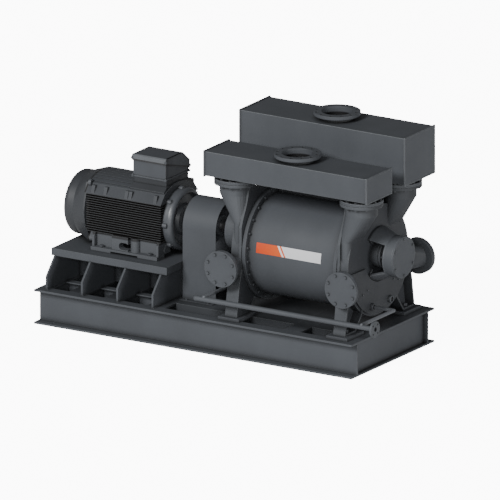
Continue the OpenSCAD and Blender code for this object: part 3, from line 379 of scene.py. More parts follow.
@dataclass(frozen=True)
class CastingPaint(Paint):
    """Paint of the castings, with painted shade on the faces that look along the shaft."""

    end_shade: RGB = (0.027, 0.029, 0.0325)
    end_shade_band: Span = (0.25, 0.90)

    def shade(self, shader: Shader, body: Sock) -> Sock:
        """Paints shade on the end faces.

        Args:
            shader: The paint's shader.
            body: The paint's colour.

        Returns:
            The darkened colour.
        """
        facing = shader.node("ShaderNodeNewGeometry", {}, {})["Normal"]
        along = shader.node("ShaderNodeSeparateXYZ", {}, {0: facing})["X"]
        # Painted shade on faces that look along X
        return shader.blend((along * along).band(*self.end_shade_band), body, self.end_shade)


@dataclass(frozen=True)
class HeaderPaint(Paint):
    """Paint of a header with painted shade inside its nozzle."""

    bore: Span = (0.893, -0.359)
    bore_radius: float = 0.1415
    bore_top: float = 1.866
    bore_fade: float = 0.012
    bore_shade: RGB = (0.004, 0.004, 0.0045)

    def shade(self, shader: Shader, body: Sock) -> Sock:
        """Paints shade on the lower part of the nozzle's bore.

        Args:
            shader: The paint's shader.
            body: The paint's colour.

        Returns:
            The darkened colour.
        """
        place = shader.place()
        reach = (place["X"] - self.bore[0]) ** 2.0 + (place["Y"] - self.bore[1]) ** 2.0
        below = 1 - place["Z"].band(self.bore_top - self.bore_fade, self.bore_top)
        # Painted shade deep in the nozzle's bore
        return shader.blend((reach < self.bore_radius ** 2) * below, body, self.bore_shade)


@dataclass(frozen=True)
class Metal:
    """Bare machined, cast or wound metal."""

    name: str
    colour: RGB
    rough: float = 0.34
    lines: Sequence[float] = (4.0, 90.0, 90.0)
    tarnish: float = 0.25
    edge_radius: float = 0.002
    tool_height: float = 0.00004

    def build(self) -> bpy.types.Material:
        """Makes the metal's material."""
        shader = Shader(self.name)
        normal, edges = shader.soft_edges(self.edge_radius)
        tooling = shader.noise(6.0, 3.0, 0.6, self.lines)
        stains = shader.noise(9.0, 5.0, 0.6).band(0.42, 0.72)
        dull = tuple(c * (1.0 - self.tarnish) for c in self.colour)
        body = shader.blend(stains, self.colour, dull)
        # Painted highlight on the edges
        edge_highlight = tuple(min(1.0, c * 1.25) for c in self.colour)
        shader.set(Base_Color=shader.blend(edges * 0.5, body, edge_highlight))
        shader.set(Roughness=self.rough + 0.14 * stains + 0.10 * (tooling - 0.5))
        shader.set(Normal=shader.bump(tooling, self.tool_height, 0.4, normal), Metallic=1.0)
        return shader.material


@dataclass(frozen=True)
class Rubber:
    """Rubber, gasket board and braided packing."""

    name: str
    colour: RGB
    weave: float = 240.0
    weave_height: float = 0.00012

    def build(self) -> bpy.types.Material:
        """Makes the rubber's material."""
        shader = Shader(self.name)
        bloom = shader.noise(14.0, 4.0).band(0.35, 0.7)
        grain = shader.noise(self.weave, 2.0)
        pale = tuple(c * 1.6 + 0.004 for c in self.colour)
        shader.set(Base_Color=shader.blend(bloom * 0.6, self.colour, pale))
        shader.set(Roughness=0.72 + 0.16 * bloom)
        shader.set(Normal=shader.bump(grain, self.weave_height, 0.6))
        return shader.material


@dataclass(frozen=True)
class PrintedPlate:
    """Printed film on a thin plate: a pale field and an orange one with a slanted edge and a stripe."""

    name: str
    x_split: float
    z_line: float
    pale: RGB = (0.47, 0.475, 0.485)
    orange: RGB = (0.40, 0.034, 0.0)
    amber: RGB = (0.44, 0.060, 0.0)
    lean: float = 0.6
    stripe: Span = (0.022, 0.040)
    fade: float = 0.22
    dust: float = 0.18
    film_height: float = 0.00004

    def build(self) -> bpy.types.Material:
        """Makes the plate's material."""
        shader = Shader(self.name)
        place = shader.place()
        slant = place["X"] + self.lean * (place["Z"] - self.z_line)
        low, high = (self.x_split + edge for edge in self.stripe)
        stripe = (slant > low) * (slant < high)
        clouds = shader.noise(7.0, 4.0).band(0.3, 0.7)
        warm = shader.blend(place["X"].band(self.x_split - self.fade, self.x_split), self.orange, self.amber)
        fin_shade = shader.blend(clouds * self.dust, self.pale, tuple(c * 0.8 for c in self.pale))
        body = shader.blend(slant < self.x_split, fin_shade, warm)
        shader.set(Base_Color=shader.blend(stripe, body, self.amber))
        shader.set(Roughness=0.36 + 0.14 * clouds)
        shader.set(Normal=shader.bump(shader.noise(160.0, 2.0), self.film_height, 0.4))
        return shader.material


class Finishes:
    """Every finish of the set, made once."""

    def __init__(self) -> None:
        """Makes the materials."""
        self.plate = Paint("grey_plate_paint").build()
        # Headers: wider and brighter painted highlights on their outer edges
        line = {"edge_radius": 0.010, "edge": (0.15, 0.157, 0.167)}
        self.front_header = HeaderPaint("front_header_paint", edge_top=1.850, **line).build()
        self.rear_header = HeaderPaint("rear_header_paint", edge_top=2.083, bore=(0.906, 0.288),
                                       bore_top=2.099, **line).build()
        self.seam = Paint("header_seam_paint", (0.060, 0.064, 0.070), edge_radius=0.002).build()
        # Barrel: wider painted contact shadow along its rings
        self.barrel = Paint("grey_barrel_paint", contact_shadow=(0.019, 0.020, 0.022), contact_shadow_reach=0.10,
                            contact_shadow_band=(0.42, 0.98)).build()
        # Trays: darker painted shade that reaches further into recesses
        self.tray = Paint("grey_tray_paint", recess_shade=(0.014, 0.015, 0.0165), recess_shade_reach=0.40,
                          recess_shade_band=(0.10, 0.95)).build()
        # Castings: darker painted shade that reaches further into recesses
        self.casting = CastingPaint("grey_casting_paint", (0.0495, 0.0535, 0.0595), cast_height=0.0008,
                                    grain=240.0, edge_radius=0.008, recess_shade=(0.014, 0.015, 0.0165),
                                    recess_shade_reach=0.45, recess_shade_band=(0.10, 0.75)).build()
        self.motor = Paint("motor_paint", cast_height=0.0004, edge_radius=0.003, rough=0.40, gloss=0.5,
                           contact_shadow_reach=0.02).build()
        # A darker copy of the motor paint: painted shade on the finned frame
        self.finned = FinnedPaint("finned_frame_paint", (0.0365, 0.0392, 0.0437), cast_height=0.0004,
                                  edge_radius=0.003, rough=0.48, contact_shadow_reach=0.015).build()
        # A darker copy of the motor paint: painted shade on the saddle's slopes
        self.saddle = Paint("box_saddle_paint", (0.0245, 0.0263, 0.0292), cast_height=0.0004,
                            edge_radius=0.003, rough=0.52, contact_shadow_reach=0.015).build()
        # A darker copy of the motor paint: painted shade on the fan cover
        self.cover = Paint("fan_cover_paint", (0.0270, 0.0290, 0.0325), edge_radius=0.004, rough=0.45,
                           gloss=0.4).build()
        # A lighter copy of the box paint with brighter edges: painted highlight on the lid's rim
        self.lid_rim = Paint("lid_rim_paint", (0.080, 0.085, 0.092), edge_radius=0.003,
                             edge=(0.20, 0.206, 0.216)).build()
        # Brighter edge tone: painted highlight on the box's edges
        self.box = Paint("terminal_box_paint", edge_radius=0.004, edge=(0.20, 0.206, 0.216)).build()
        # Fittings: darker painted shade in small recesses
        self.fitting = Paint("grey_fitting_paint", rough=0.5, edge_radius=0.002, recess_shade_reach=0.1,
                             recess_shade=(0.021, 0.0225, 0.025)).build()
        # A lighter copy of the pipe paint: painted highlight on the branches
        self.branch = Paint("service_branch_paint", (0.075, 0.080, 0.088), rough=0.5, edge_radius=0.003,
                            recess_shade_reach=0.1).build()
        self.pipe = Paint("service_pipe_paint", (0.050, 0.054, 0.060), rough=0.5, edge_radius=0.003,
                          recess_shade_reach=0.1).build()
        self.steel = Metal("turned_steel", (0.46, 0.46, 0.47)).build()
        self.cast_metal = Metal("cast_iron", (0.20, 0.20, 0.21), 0.52, (40.0, 40.0, 40.0)).build()
        self.copper = Metal("copper_winding", (0.66, 0.30, 0.15), 0.4, (3.0, 160.0, 160.0)).build()
        self.rubber = Rubber("black_rubber", (0.012, 0.012, 0.013)).build()
        self.packing = Rubber("braided_packing", (0.16, 0.14, 0.11), 420.0).build()


class Piece:
    """A new piece that starts as an empty bmesh."""

    def __init__(self, name: str) -> None:
        """Starts the piece.

        Args:
            name: Name of its object.
        """
        self.name = name
        self.mesh = bmesh.new()

    def finish(self, material: bpy.types.Material, slot: Slot, smooth: float = 0.0) -> None:
        """Makes the object, with its place in its mesh, and lets it ride on the standing set.

        Args:
            material: Its finish.
            slot: The record's slot; not used.
            smooth: Angle in degrees under which edges are shaded smooth.
        """
        bmesh.ops.remove_doubles(self.mesh, verts=self.mesh.verts[:], dist=1e-6)
        bmesh.ops.recalc_face_normals(self.mesh, faces=self.mesh.faces[:])
        data = bpy.data.meshes.new(self.name)
        self.mesh.to_mesh(data)
        self.mesh.free()
        data.materials.append(material)
        if smooth:
            data.shade_smooth()
            data.set_sharp_from_angle(angle=math.radians(smooth))
        made = bpy.data.objects.new(self.name, data)
        bpy.context.scene.collection.objects.link(made)
        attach(made, STANDING_SET)
        LOG.info("%s: %d faces", self.name, len(data.polygons))


def dress(material: bpy.types.Material, *names: str) -> None:
    """Gives CAD nodes a finish.

    Args:
        material: The finish.
        names: Nodes that get it.
    """
    for name in names:
        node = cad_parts[name]
        node.data.materials.clear()
        node.data.materials.append(material)
        LOG.info("%s: %s", name, material.name)


def points_of(geom: Iterable[Any]) -> list[bmesh.types.BMVert]:
    """The points among an operator's results."""
    return [item for item in geom if isinstance(item, bmesh.types.BMVert)]


def stood(spot: Sequence[float], axis: Sequence[float]) -> Matrix:
    """The move that stands a shape built along Z on a spot, along an axis."""
    return Matrix.Translation(Vector(spot)) @ Vector(axis).to_track_quat("Z", "Y").to_matrix().to_4x4()


def sharp_edges(mesh: bmesh.types.BMesh, angle: float) -> list[bmesh.types.BMEdge]:
    """Edges at which the faces turn by more than an angle in radians."""
    return [edge for edge in mesh.edges if edge.is_manifold and edge.calc_face_angle() > angle]


def round_edges(mesh: bmesh.types.BMesh, edges: Sequence[bmesh.types.BMEdge], offset: float,
                segments: int = 2) -> list[bmesh.types.BMVert]:
    """Rounds edges.

    Args:
        mesh: Mesh that has them.
        edges: The edges.
        offset: Size of the rounding.
        segments: Steps across it.

    Returns:
        The new points.
    """
    return bmesh.ops.bevel(mesh, geom=edges, offset=offset, offset_type="OFFSET", segments=segments,
                           profile=0.5, affect="EDGES", material=-1)["verts"]


def flat_face(mesh: bmesh.types.BMesh, span_x: Span, span_y: Span, lip: float = 0.0) -> Span:
    """Starts a mesh with one oblong face about the origin.

    Args:
        mesh: Mesh that gets it.
        span_x: Ends of the face's place along X.
        span_y: Ends of the face's place along Y.
        lip: Width added on each side.

    Returns:
        The middle of the face's place.
    """
    size = [(high - low) / 2 + lip for low, high in (span_x, span_y)]
    bmesh.ops.create_grid(mesh, x_segments=1, y_segments=1, size=1.0)
    bmesh.ops.scale(mesh, verts=mesh.verts[:], vec=(*size, 1.0))
    return sum(span_x) / 2, sum(span_y) / 2


@dataclass(frozen=True)
class Bolt:
    """A hexagon head on a washer."""

    across: float
    height: float
    washer: float = 1.25
    washer_taper: float = 0.96
    washer_height: float = 0.25
    rounding: float = 0.16

    def place(self, piece: Piece, spot: Sequence[float], axis: Sequence[float]) -> list[bmesh.types.BMVert]:
        """Builds the bolt on a face.

        Args:
            piece: Piece that gets it.
            spot: Place on the face.
            axis: Direction out of the face.

        Returns:
            Its points.
        """
        mesh = piece.mesh
        radius = self.across / math.sqrt(3.0)
        wide, thick = radius * self.washer, self.height * self.washer_height
        ring = bmesh.ops.create_cone(mesh, cap_ends=True, segments=24, radius1=wide,
                                     radius2=wide * self.washer_taper, depth=thick)["verts"]
        bmesh.ops.translate(mesh, verts=ring, vec=(0.0, 0.0, thick / 2))
        head = bmesh.ops.create_cone(mesh, cap_ends=True, segments=6, radius1=radius, radius2=radius,
                                     depth=self.height)["verts"]
        bmesh.ops.translate(mesh, verts=head, vec=(0.0, 0.0, thick + self.height / 2))
        top = max(vert.co.z for vert in head)
        rim = [edge for vert in head for edge in vert.link_edges
               if all(abs(end.co.z - top) < 1e-6 for end in edge.verts)]
        cut = round_edges(mesh, list(set(rim)), self.height * self.rounding)
        points = list({*ring, *(vert for vert in head if vert.is_valid), *cut})
        bmesh.ops.transform(mesh, matrix=stood(spot, axis), verts=points)
        return points

    def circle(self, piece: Piece, centre: Sequence[float], radius: float, count: int, axis_x: float,
               phase: float = 0.0) -> None:
        """Builds a ring of bolts about a line along X.

        Args:
            piece: Piece that gets them.
            centre: Middle of the ring, on the face.
            radius: Radius of the ring.
            count: How many.
            axis_x: Plus or minus one, the way the heads point.
            phase: Angle of the first one in degrees.
        """
        turn = math.radians(phase)
        spot = Vector(centre) + radius * Vector((0.0, math.cos(turn), math.sin(turn)))
        points = self.place(piece, spot, (axis_x, 0.0, 0.0))
        shape = list({*points, *(edge for vert in points for edge in vert.link_edges),
                      *(face for vert in points for face in vert.link_faces)})
        bmesh.ops.spin(piece.mesh, geom=shape, cent=centre, axis=(1.0, 0.0, 0.0),
                       angle=math.tau * (count - 1) / count, steps=count - 1, use_duplicate=True)


def turned(piece: Piece, spot: Sequence[float], axis: Sequence[float], profile: Sequence[Span],
           steps: int = 32) -> None:
    """Turns a profile into a round piece.

    Args:
        piece: Piece that gets it.
        spot: Place of the profile's foot.
        axis: Direction of the turning axis.
        profile: Radius and height of each corner.
        steps: Steps around.
    """
    mesh = piece.mesh
    points = [mesh.verts.new((radius, 0.0, height)) for radius, height in profile]
    edges = [mesh.edges.new(pair) for pair in zip(points, points[1:])]
    before = set(mesh.verts) - set(points)
    bmesh.ops.spin(mesh, geom=[*points, *edges], cent=(0.0, 0.0, 0.0), axis=(0.0, 0.0, 1.0), angle=math.tau,
                   steps=steps, use_merge=True)
    made = [vert for vert in mesh.verts if vert not in before]
    bmesh.ops.transform(mesh, matrix=stood(spot, axis), verts=made)


def bead(piece: Piece, path: Sequence[Sequence[float]], radius: float) -> None:
    """Lays a weld bead along a path.

    Args:
        piece: Piece that gets it.
        path: Corners of the bead's middle line.
        radius: Its radius.
    """
    mesh = piece.mesh
    corners = [Vector(corner) for corner in path]
    for start, end in zip(corners, corners[1:]):
        run = end - start
        bmesh.ops.create_cone(mesh, cap_ends=True, segments=10, radius1=radius, radius2=radius,
                              depth=run.length, matrix=stood((start + end) / 2, run))
    for corner in corners:
        bmesh.ops.create_uvsphere(mesh, u_segments=10, v_segments=6, radius=radius,
                                  matrix=Matrix.Translation(corner))


def lug(piece: Piece, foot: Sequence[float], turn: float, size: Sequence[float],
        holes: Sequence[float]) -> None:
    """Builds an upright lug plate with shackle holes.

    Args:
        piece: Piece that gets it.
        foot: Middle of its foot.
        turn: Turn about Z in degrees; nought lies along X.
        size: Width, height and thickness.
        holes: Places of the holes along the width, from the middle.
    """
    mesh = bmesh.new()
    width, height, thick = size
    bmesh.ops.create_grid(mesh, x_segments=1, y_segments=1, size=0.5)
    bmesh.ops.transform(mesh, verts=mesh.verts[:], matrix=Matrix.Diagonal((width, height, 1.0, 1.0)))
    bmesh.ops.translate(mesh, verts=mesh.verts[:], vec=(0.0, height / 2, 0.0))
    corners = [vert for vert in mesh.verts if vert.co.y > height / 2]
    bmesh.ops.bevel(mesh, geom=corners, offset=height * LUG_CORNER, offset_type="OFFSET", segments=5,
                    profile=0.5, affect="VERTICES", material=-1)
    bmesh.ops.delete(mesh, geom=mesh.faces[:], context="FACES_ONLY")
    for place in holes:
        bmesh.ops.create_circle(mesh, cap_ends=False, segments=20, radius=height * LUG_HOLE,
                                matrix=Matrix.Translation((place, height * LUG_HOLE_UP, 0.0)))
    bmesh.ops.triangle_fill(mesh, use_beauty=True, use_dissolve=False, edges=mesh.edges[:])
    grown = bmesh.ops.extrude_face_region(mesh, geom=mesh.faces[:])["geom"]
    bmesh.ops.translate(mesh, verts=points_of(grown), vec=(0.0, 0.0, thick))
    bmesh.ops.translate(mesh, verts=mesh.verts[:], vec=(0.0, 0.0, -thick / 2))
    round_edges(mesh, sharp_edges(mesh, SQUARE_TURN), LUG_EDGE, 1)
    stand = Matrix.Rotation(math.radians(turn), 4, "Z") @ Matrix.Rotation(math.pi / 2, 4, "X")
    bmesh.ops.transform(mesh, verts=mesh.verts[:], matrix=Matrix.Translation(Vector(foot)) @ stand)
    part = bpy.data.meshes.new("lug")
    mesh.to_mesh(part)
    mesh.free()
    piece.mesh.from_mesh(part)
    bpy.data.meshes.remove(part)


def strip(piece: Piece, line: Sequence[Span], start: float, length: float, thick: float) -> None:
    """Folds a thin strip along a line in Y and Z.

    Args:
        piece: Piece that gets it.
        line: Corners of the side that the thickness starts from, with the front first.
        start: X of its first edge.
        length: Its length along X.
        thick: Its thickness, outwards, or inwards where it is less than nought.
    """
    mesh = piece.mesh
    before = set(mesh.faces)
    points = [mesh.verts.new((start, y, z)) for y, z in line]
    edges = [mesh.edges.new(pair) for pair in zip(points, points[1:])]
    grown = bmesh.ops.extrude_edge_only(mesh, edges=edges)["geom"]
    bmesh.ops.translate(mesh, verts=points_of(grown), vec=(length, 0.0, 0.0))
    faces = [face for face in mesh.faces if face not in before]
    for face in faces:
        face.normal_update()
    # The operator's faces come in any order, so the front one is looked up
    front = min(faces, key=lambda face: face.calc_center_median().y)
    if front.normal.y > 0.0:
        bmesh.ops.reverse_faces(mesh, faces=faces)
    bmesh.ops.solidify(mesh, geom=faces, thickness=-thick)


@dataclass
class BaseFrame:
    """Welded base of channels with its cross members, trays, pump pads and motor pedestal."""

    rib_x: tuple[float, ...] = (-1.571, -1.199, -0.827, -0.455)
    rib_thick: float = 0.018
    rib_feet: tuple[Span, ...] = ((-0.650, -0.592), (0.592, 0.650))
    base_z: float = 0.320
    bed_half: float = 0.495
    bed_z: float = 0.600
    weld: float = 0.005

    def dress(self, finishes: Finishes) -> None:
        """Paints the base."""
        dress(finishes.tray, "base_cross_members", "base_deck_trays")
        dress(finishes.plate, "base_front_beam", "base_rear_beam", "base_end_beams", "pump_foot_pads",
              "pedestal_ribs", "pedestal_stringers", "motor_bed_plate")

    def build(self, finishes: Finishes) -> None:
        """Lays the weld beads at the feet and tops of the pedestal's ribs."""
        beads = Piece("pedestal_welds")
        for x in (x + side * self.rib_thick / 2 for x in self.rib_x for side in WAYS):
            for start, end in self.rib_feet:
                bead(beads, ((x, start, self.base_z), (x, end, self.base_z)), self.weld)
            bead(beads, ((x, -self.bed_half, self.bed_z), (x, self.bed_half, self.bed_z)), self.weld)
        beads.finish(finishes.plate, Slot.GREY_PAINT, smooth=50.0)


@dataclass
class Motor:
    """Finned motor with its terminal box, shields, fan and rotor."""

    axis_z: float = 0.982
    lug_face_x: float = -0.533
    lug_reach: float = 0.276
    lug_count: int = 8
    rim_x: float = -1.391
    rim_radius: float = 0.318
    rim_angles: tuple[float, ...] = (150.0, 180.0, 205.0, 30.0, 0.0, -25.0)
    box_x: Span = (-0.947, -0.605)
    box_y: Span = (-0.188, 0.202)
    box_seat_z: float = 1.361
    box_fall: float = 0.116
    seat_lip: float = 0.007
    seat_under: float = 0.004
    seat_thick: float = 0.016
    saddle_x: Span = (-0.945, -0.586)
    saddle_y: Span = (-0.244, 0.244)
    saddle_z: tuple[float, float, float, float] = (1.240, 1.270, 1.312, 1.362)
    saddle_draw: Span = (0.985, 0.80)
    saddle_step: float = 0.008
    cast_round: float = 0.003
    lid_out: float = 0.008
    lid_top_z: float = 1.569
    lid_rim_z: float = 1.528
    lid_back_z: float = 1.475
    lid_edge: Span = (0.014, 0.010)
    lid_slope: float = 0.118
    rim_proud: float = 0.003
    strap_w: float = 0.012
    seal_h: float = 0.013
    seal_proud: float = 0.001
    ear_r: float = 0.013
    ear_h: float = 0.018
    ear_round: float = 0.002
    lid_ear_in: float = 0.002
    foot_ear_in: float = 0.006
    shield_bolt: Bolt = Bolt(0.024, 0.010)
    small_screw: Bolt = Bolt(0.010, 0.005)

    def dress(self, finishes: Finishes) -> None:
        """Paints the outside and finishes the inside."""
        dress(finishes.finned, "motor_frame")
        dress(finishes.motor, "motor_de_shield", "motor_nde_shield", "lifting_eyes")
        dress(finishes.cover, "fan_cover")
        dress(finishes.box, "terminal_box", "terminal_box_lid")
        dress(finishes.fitting, "cable_gland", "motor_foot_bolts")
        dress(finishes.steel, "motor_shaft", "motor_bearing_inners", "motor_bearing_outers")
        dress(finishes.cast_metal, "motor_rotor_core", "stator_core", "cooling_fan")
        dress(finishes.copper, "stator_windings")

    def build(self, finishes: Finishes) -> None:
        """Builds the shield's bolts, the fan cover's screws and what belongs to the terminal box."""
        bolts = Piece("shield_bolts")
        face = (self.lug_face_x, 0.0, self.axis_z)
        self.shield_bolt.circle(bolts, face, self.lug_reach, self.lug_count, 1.0)
        bolts.finish(finishes.fitting, Slot.MOTOR_PAINT)
        screws = Piece("fan_cover_screws")
        middle = Vector((self.rim_x, 0.0, self.axis_z))
        for angle in (math.radians(degrees) for degrees in self.rim_angles):
            out = Vector((0.0, math.cos(angle), math.sin(angle)))
            self.small_screw.place(screws, middle + self.rim_radius * out, out)
        screws.finish(finishes.fitting, Slot.MOTOR_PAINT)
        self.build_saddle(finishes)
        self.build_seat(finishes)
        self.build_lid_trim(finishes)

    def build_saddle(self, finishes: Finishes) -> None:
        """Builds the stepped cast saddle that carries the terminal box on the crown."""
        saddle = Piece("terminal_box_saddle")
        mesh = saddle.mesh
        middle = flat_face(mesh, self.saddle_x, self.saddle_y)
        foot, shoulder, ledge, top = self.saddle_z
        upright = (1.0, 1.0)
        steps = ((shoulder - foot, upright, 0.0), (ledge - shoulder, self.saddle_draw, self.saddle_step),
                 (top - ledge, upright, 0.0))
        face = mesh.faces[:]
        for rise, draw, inward in steps:
            keep_foot = len(mesh.faces) == 1
            grown = bmesh.ops.extrude_face_region(mesh, geom=face, use_keep_orig=keep_foot)["geom"]
            bmesh.ops.translate(mesh, verts=points_of(grown), vec=(0.0, 0.0, rise))
            bmesh.ops.scale(mesh, verts=points_of(grown), vec=(*draw, 1.0))
            face = [item for item in grown if isinstance(item, bmesh.types.BMFace)]
            if inward:
                bmesh.ops.inset_region(mesh, faces=face, thickness=inward, depth=0.0, use_even_offset=True)
        bmesh.ops.translate(mesh, verts=mesh.verts[:], vec=(*middle, foot))
        bmesh.ops.recalc_face_normals(mesh, faces=mesh.faces[:])
        round_edges(mesh, sharp_edges(mesh, SLIGHT_TURN), self.cast_round)
        saddle.finish(finishes.saddle, Slot.MOTOR_PAINT)

    def build_seat(self, finishes: Finishes) -> None:
        """Builds the terminal box's foot flange as a frame about the box."""
        seat = Piece("terminal_box_foot")
        mesh = seat.mesh
        middle = flat_face(mesh, self.box_x, self.box_y, self.seat_lip)
        bmesh.ops.inset_region(mesh, faces=mesh.faces[:], thickness=self.seat_lip + self.seat_under,
                               depth=0.0, use_boundary=True, use_even_offset=True)
        inner = min(mesh.faces, key=lambda face: face.calc_center_median().length)
        bmesh.ops.delete(mesh, geom=[inner], context="FACES_ONLY")
        bmesh.ops.solidify(mesh, geom=mesh.faces[:], thickness=self.seat_thick)
        round_edges(mesh, sharp_edges(mesh, SQUARE_TURN), self.cast_round)
        low = min(vert.co.z for vert in mesh.verts)
        bmesh.ops.translate(mesh, verts=mesh.verts[:], vec=(*middle, self.box_seat_z - low))
        seat.finish(finishes.box, Slot.MOTOR_PAINT)

    def build_lid_trim(self, finishes: Finishes) -> None:
        """Builds the lid's front rim and sunk end straps, the seal and the screw ears of lid and foot."""
        (x0, x1), (y0, y1) = self.box_x, self.box_y
        x0, x1, y0, y1 = x0 - self.lid_out, x1 + self.lid_out, y0 - self.lid_out, y1 + self.lid_out
        edge, lip = self.lid_edge
        front = [(y0, self.lid_rim_z), (y0, self.lid_top_z - lip), (y0 + edge, self.lid_top_z)]
        whole = [*front, (y1 - self.lid_slope, self.lid_top_z), (y1, self.lid_back_z),
                 (y1, self.lid_rim_z - self.box_fall)]
        rim, seal = Piece("lid_rim"), Piece("lid_seal")
        strip(rim, front, x0, x1 - x0, self.rim_proud)
        for start in (x0, x1 - self.strap_w):
            strip(rim, whole, start, self.strap_w, -self.rim_proud)
        rim.finish(finishes.lid_rim, Slot.MOTOR_PAINT)
        self.build_seal(seal, (x0, x1), (y0, y1))
        seal.finish(finishes.rubber, Slot.BLACK_RUBBER)
        ears = Piece("box_ears")
        self.build_ears(ears, (x0, x1), (y0, y1))
        ears.finish(finishes.box, Slot.MOTOR_PAINT, smooth=35.0)

    def build_ears(self, ears: Piece, span_x: Span, span_y: Span) -> None:
        """Builds the screw ears at the corners of the lid and the foot.

        Args:
            ears: Piece that gets them.
            span_x: The lid's ends.
            span_y: The lid's front and back.
        """
        profile = ((0.0, 0.0), (self.ear_r, 0.0), (self.ear_r, self.ear_h - self.ear_round),
                   (self.ear_r - self.ear_round, self.ear_h), (0.0, self.ear_h))
        rim_z = (self.lid_rim_z, self.lid_rim_z - self.box_fall)
        for x, x_way in zip(span_x, WAYS):
            for y, y_way, z in zip(span_y, WAYS, rim_z):
                for foot_z, inward in ((z, self.lid_ear_in), (self.box_seat_z, self.foot_ear_in)):
                    spot = (x - inward * x_way, y - inward * y_way)
                    turned(ears, (*spot, foot_z), UPWARDS, profile, 20)
                    self.small_screw.place(ears, (*spot, foot_z + self.ear_h), UPWARDS)

    def build_seal(self, seal: Piece, span_x: Span, span_y: Span) -> None:
        """Builds the rubber seal as a closed band that slopes with the lid.

        Args:
            seal: Piece that gets it.
            span_x: The lid's ends.
            span_y: The lid's front and back.
        """
        mesh = seal.mesh
        (x0, x1), (y0, y1) = span_x, span_y
        corners = [mesh.verts.new((x, y, self.lid_rim_z - self.seal_h))
                   for x, y in ((x0, y0), (x1, y0), (x1, y1), (x0, y1))]
        for corner in corners[2:]:
            corner.co.z -= self.box_fall
        loop = [mesh.edges.new(pair) for pair in zip(corners, corners[1:] + corners[:1])]
        grown = bmesh.ops.extrude_edge_only(mesh, edges=loop)["geom"]
        bmesh.ops.translate(mesh, verts=points_of(grown), vec=(0.0, 0.0, self.seal_h))
        bmesh.ops.recalc_face_normals(mesh, faces=mesh.faces[:])
        bmesh.ops.solidify(mesh, geom=mesh.faces[:], thickness=-self.seal_proud)


@dataclass
class CouplingSet:
    """Pin and bush coupling under its guard."""

    foot_x: Span = (-0.333, -0.105)
    foot_y: float = 0.272
    foot_z: float = 0.324
    foot_bolt: Bolt = Bolt(0.018, 0.008)

    def dress(self, finishes: Finishes) -> None:
        """Paints the guard and hubs."""
        dress(finishes.plate, "coupling_guard")
        dress(finishes.fitting, "coupling_motor_hub", "coupling_pump_hub")
        dress(finishes.rubber, "coupling_bushes")

    def build(self, finishes: Finishes) -> None:
        """Builds the bolts in the guard's feet."""
        bolts = Piece("guard_bolts")
        for x in self.foot_x:
            for side in WAYS:
                self.foot_bolt.place(bolts, (x, side * self.foot_y, self.foot_z), UPWARDS)
        bolts.finish(finishes.fitting, Slot.GREY_PAINT)


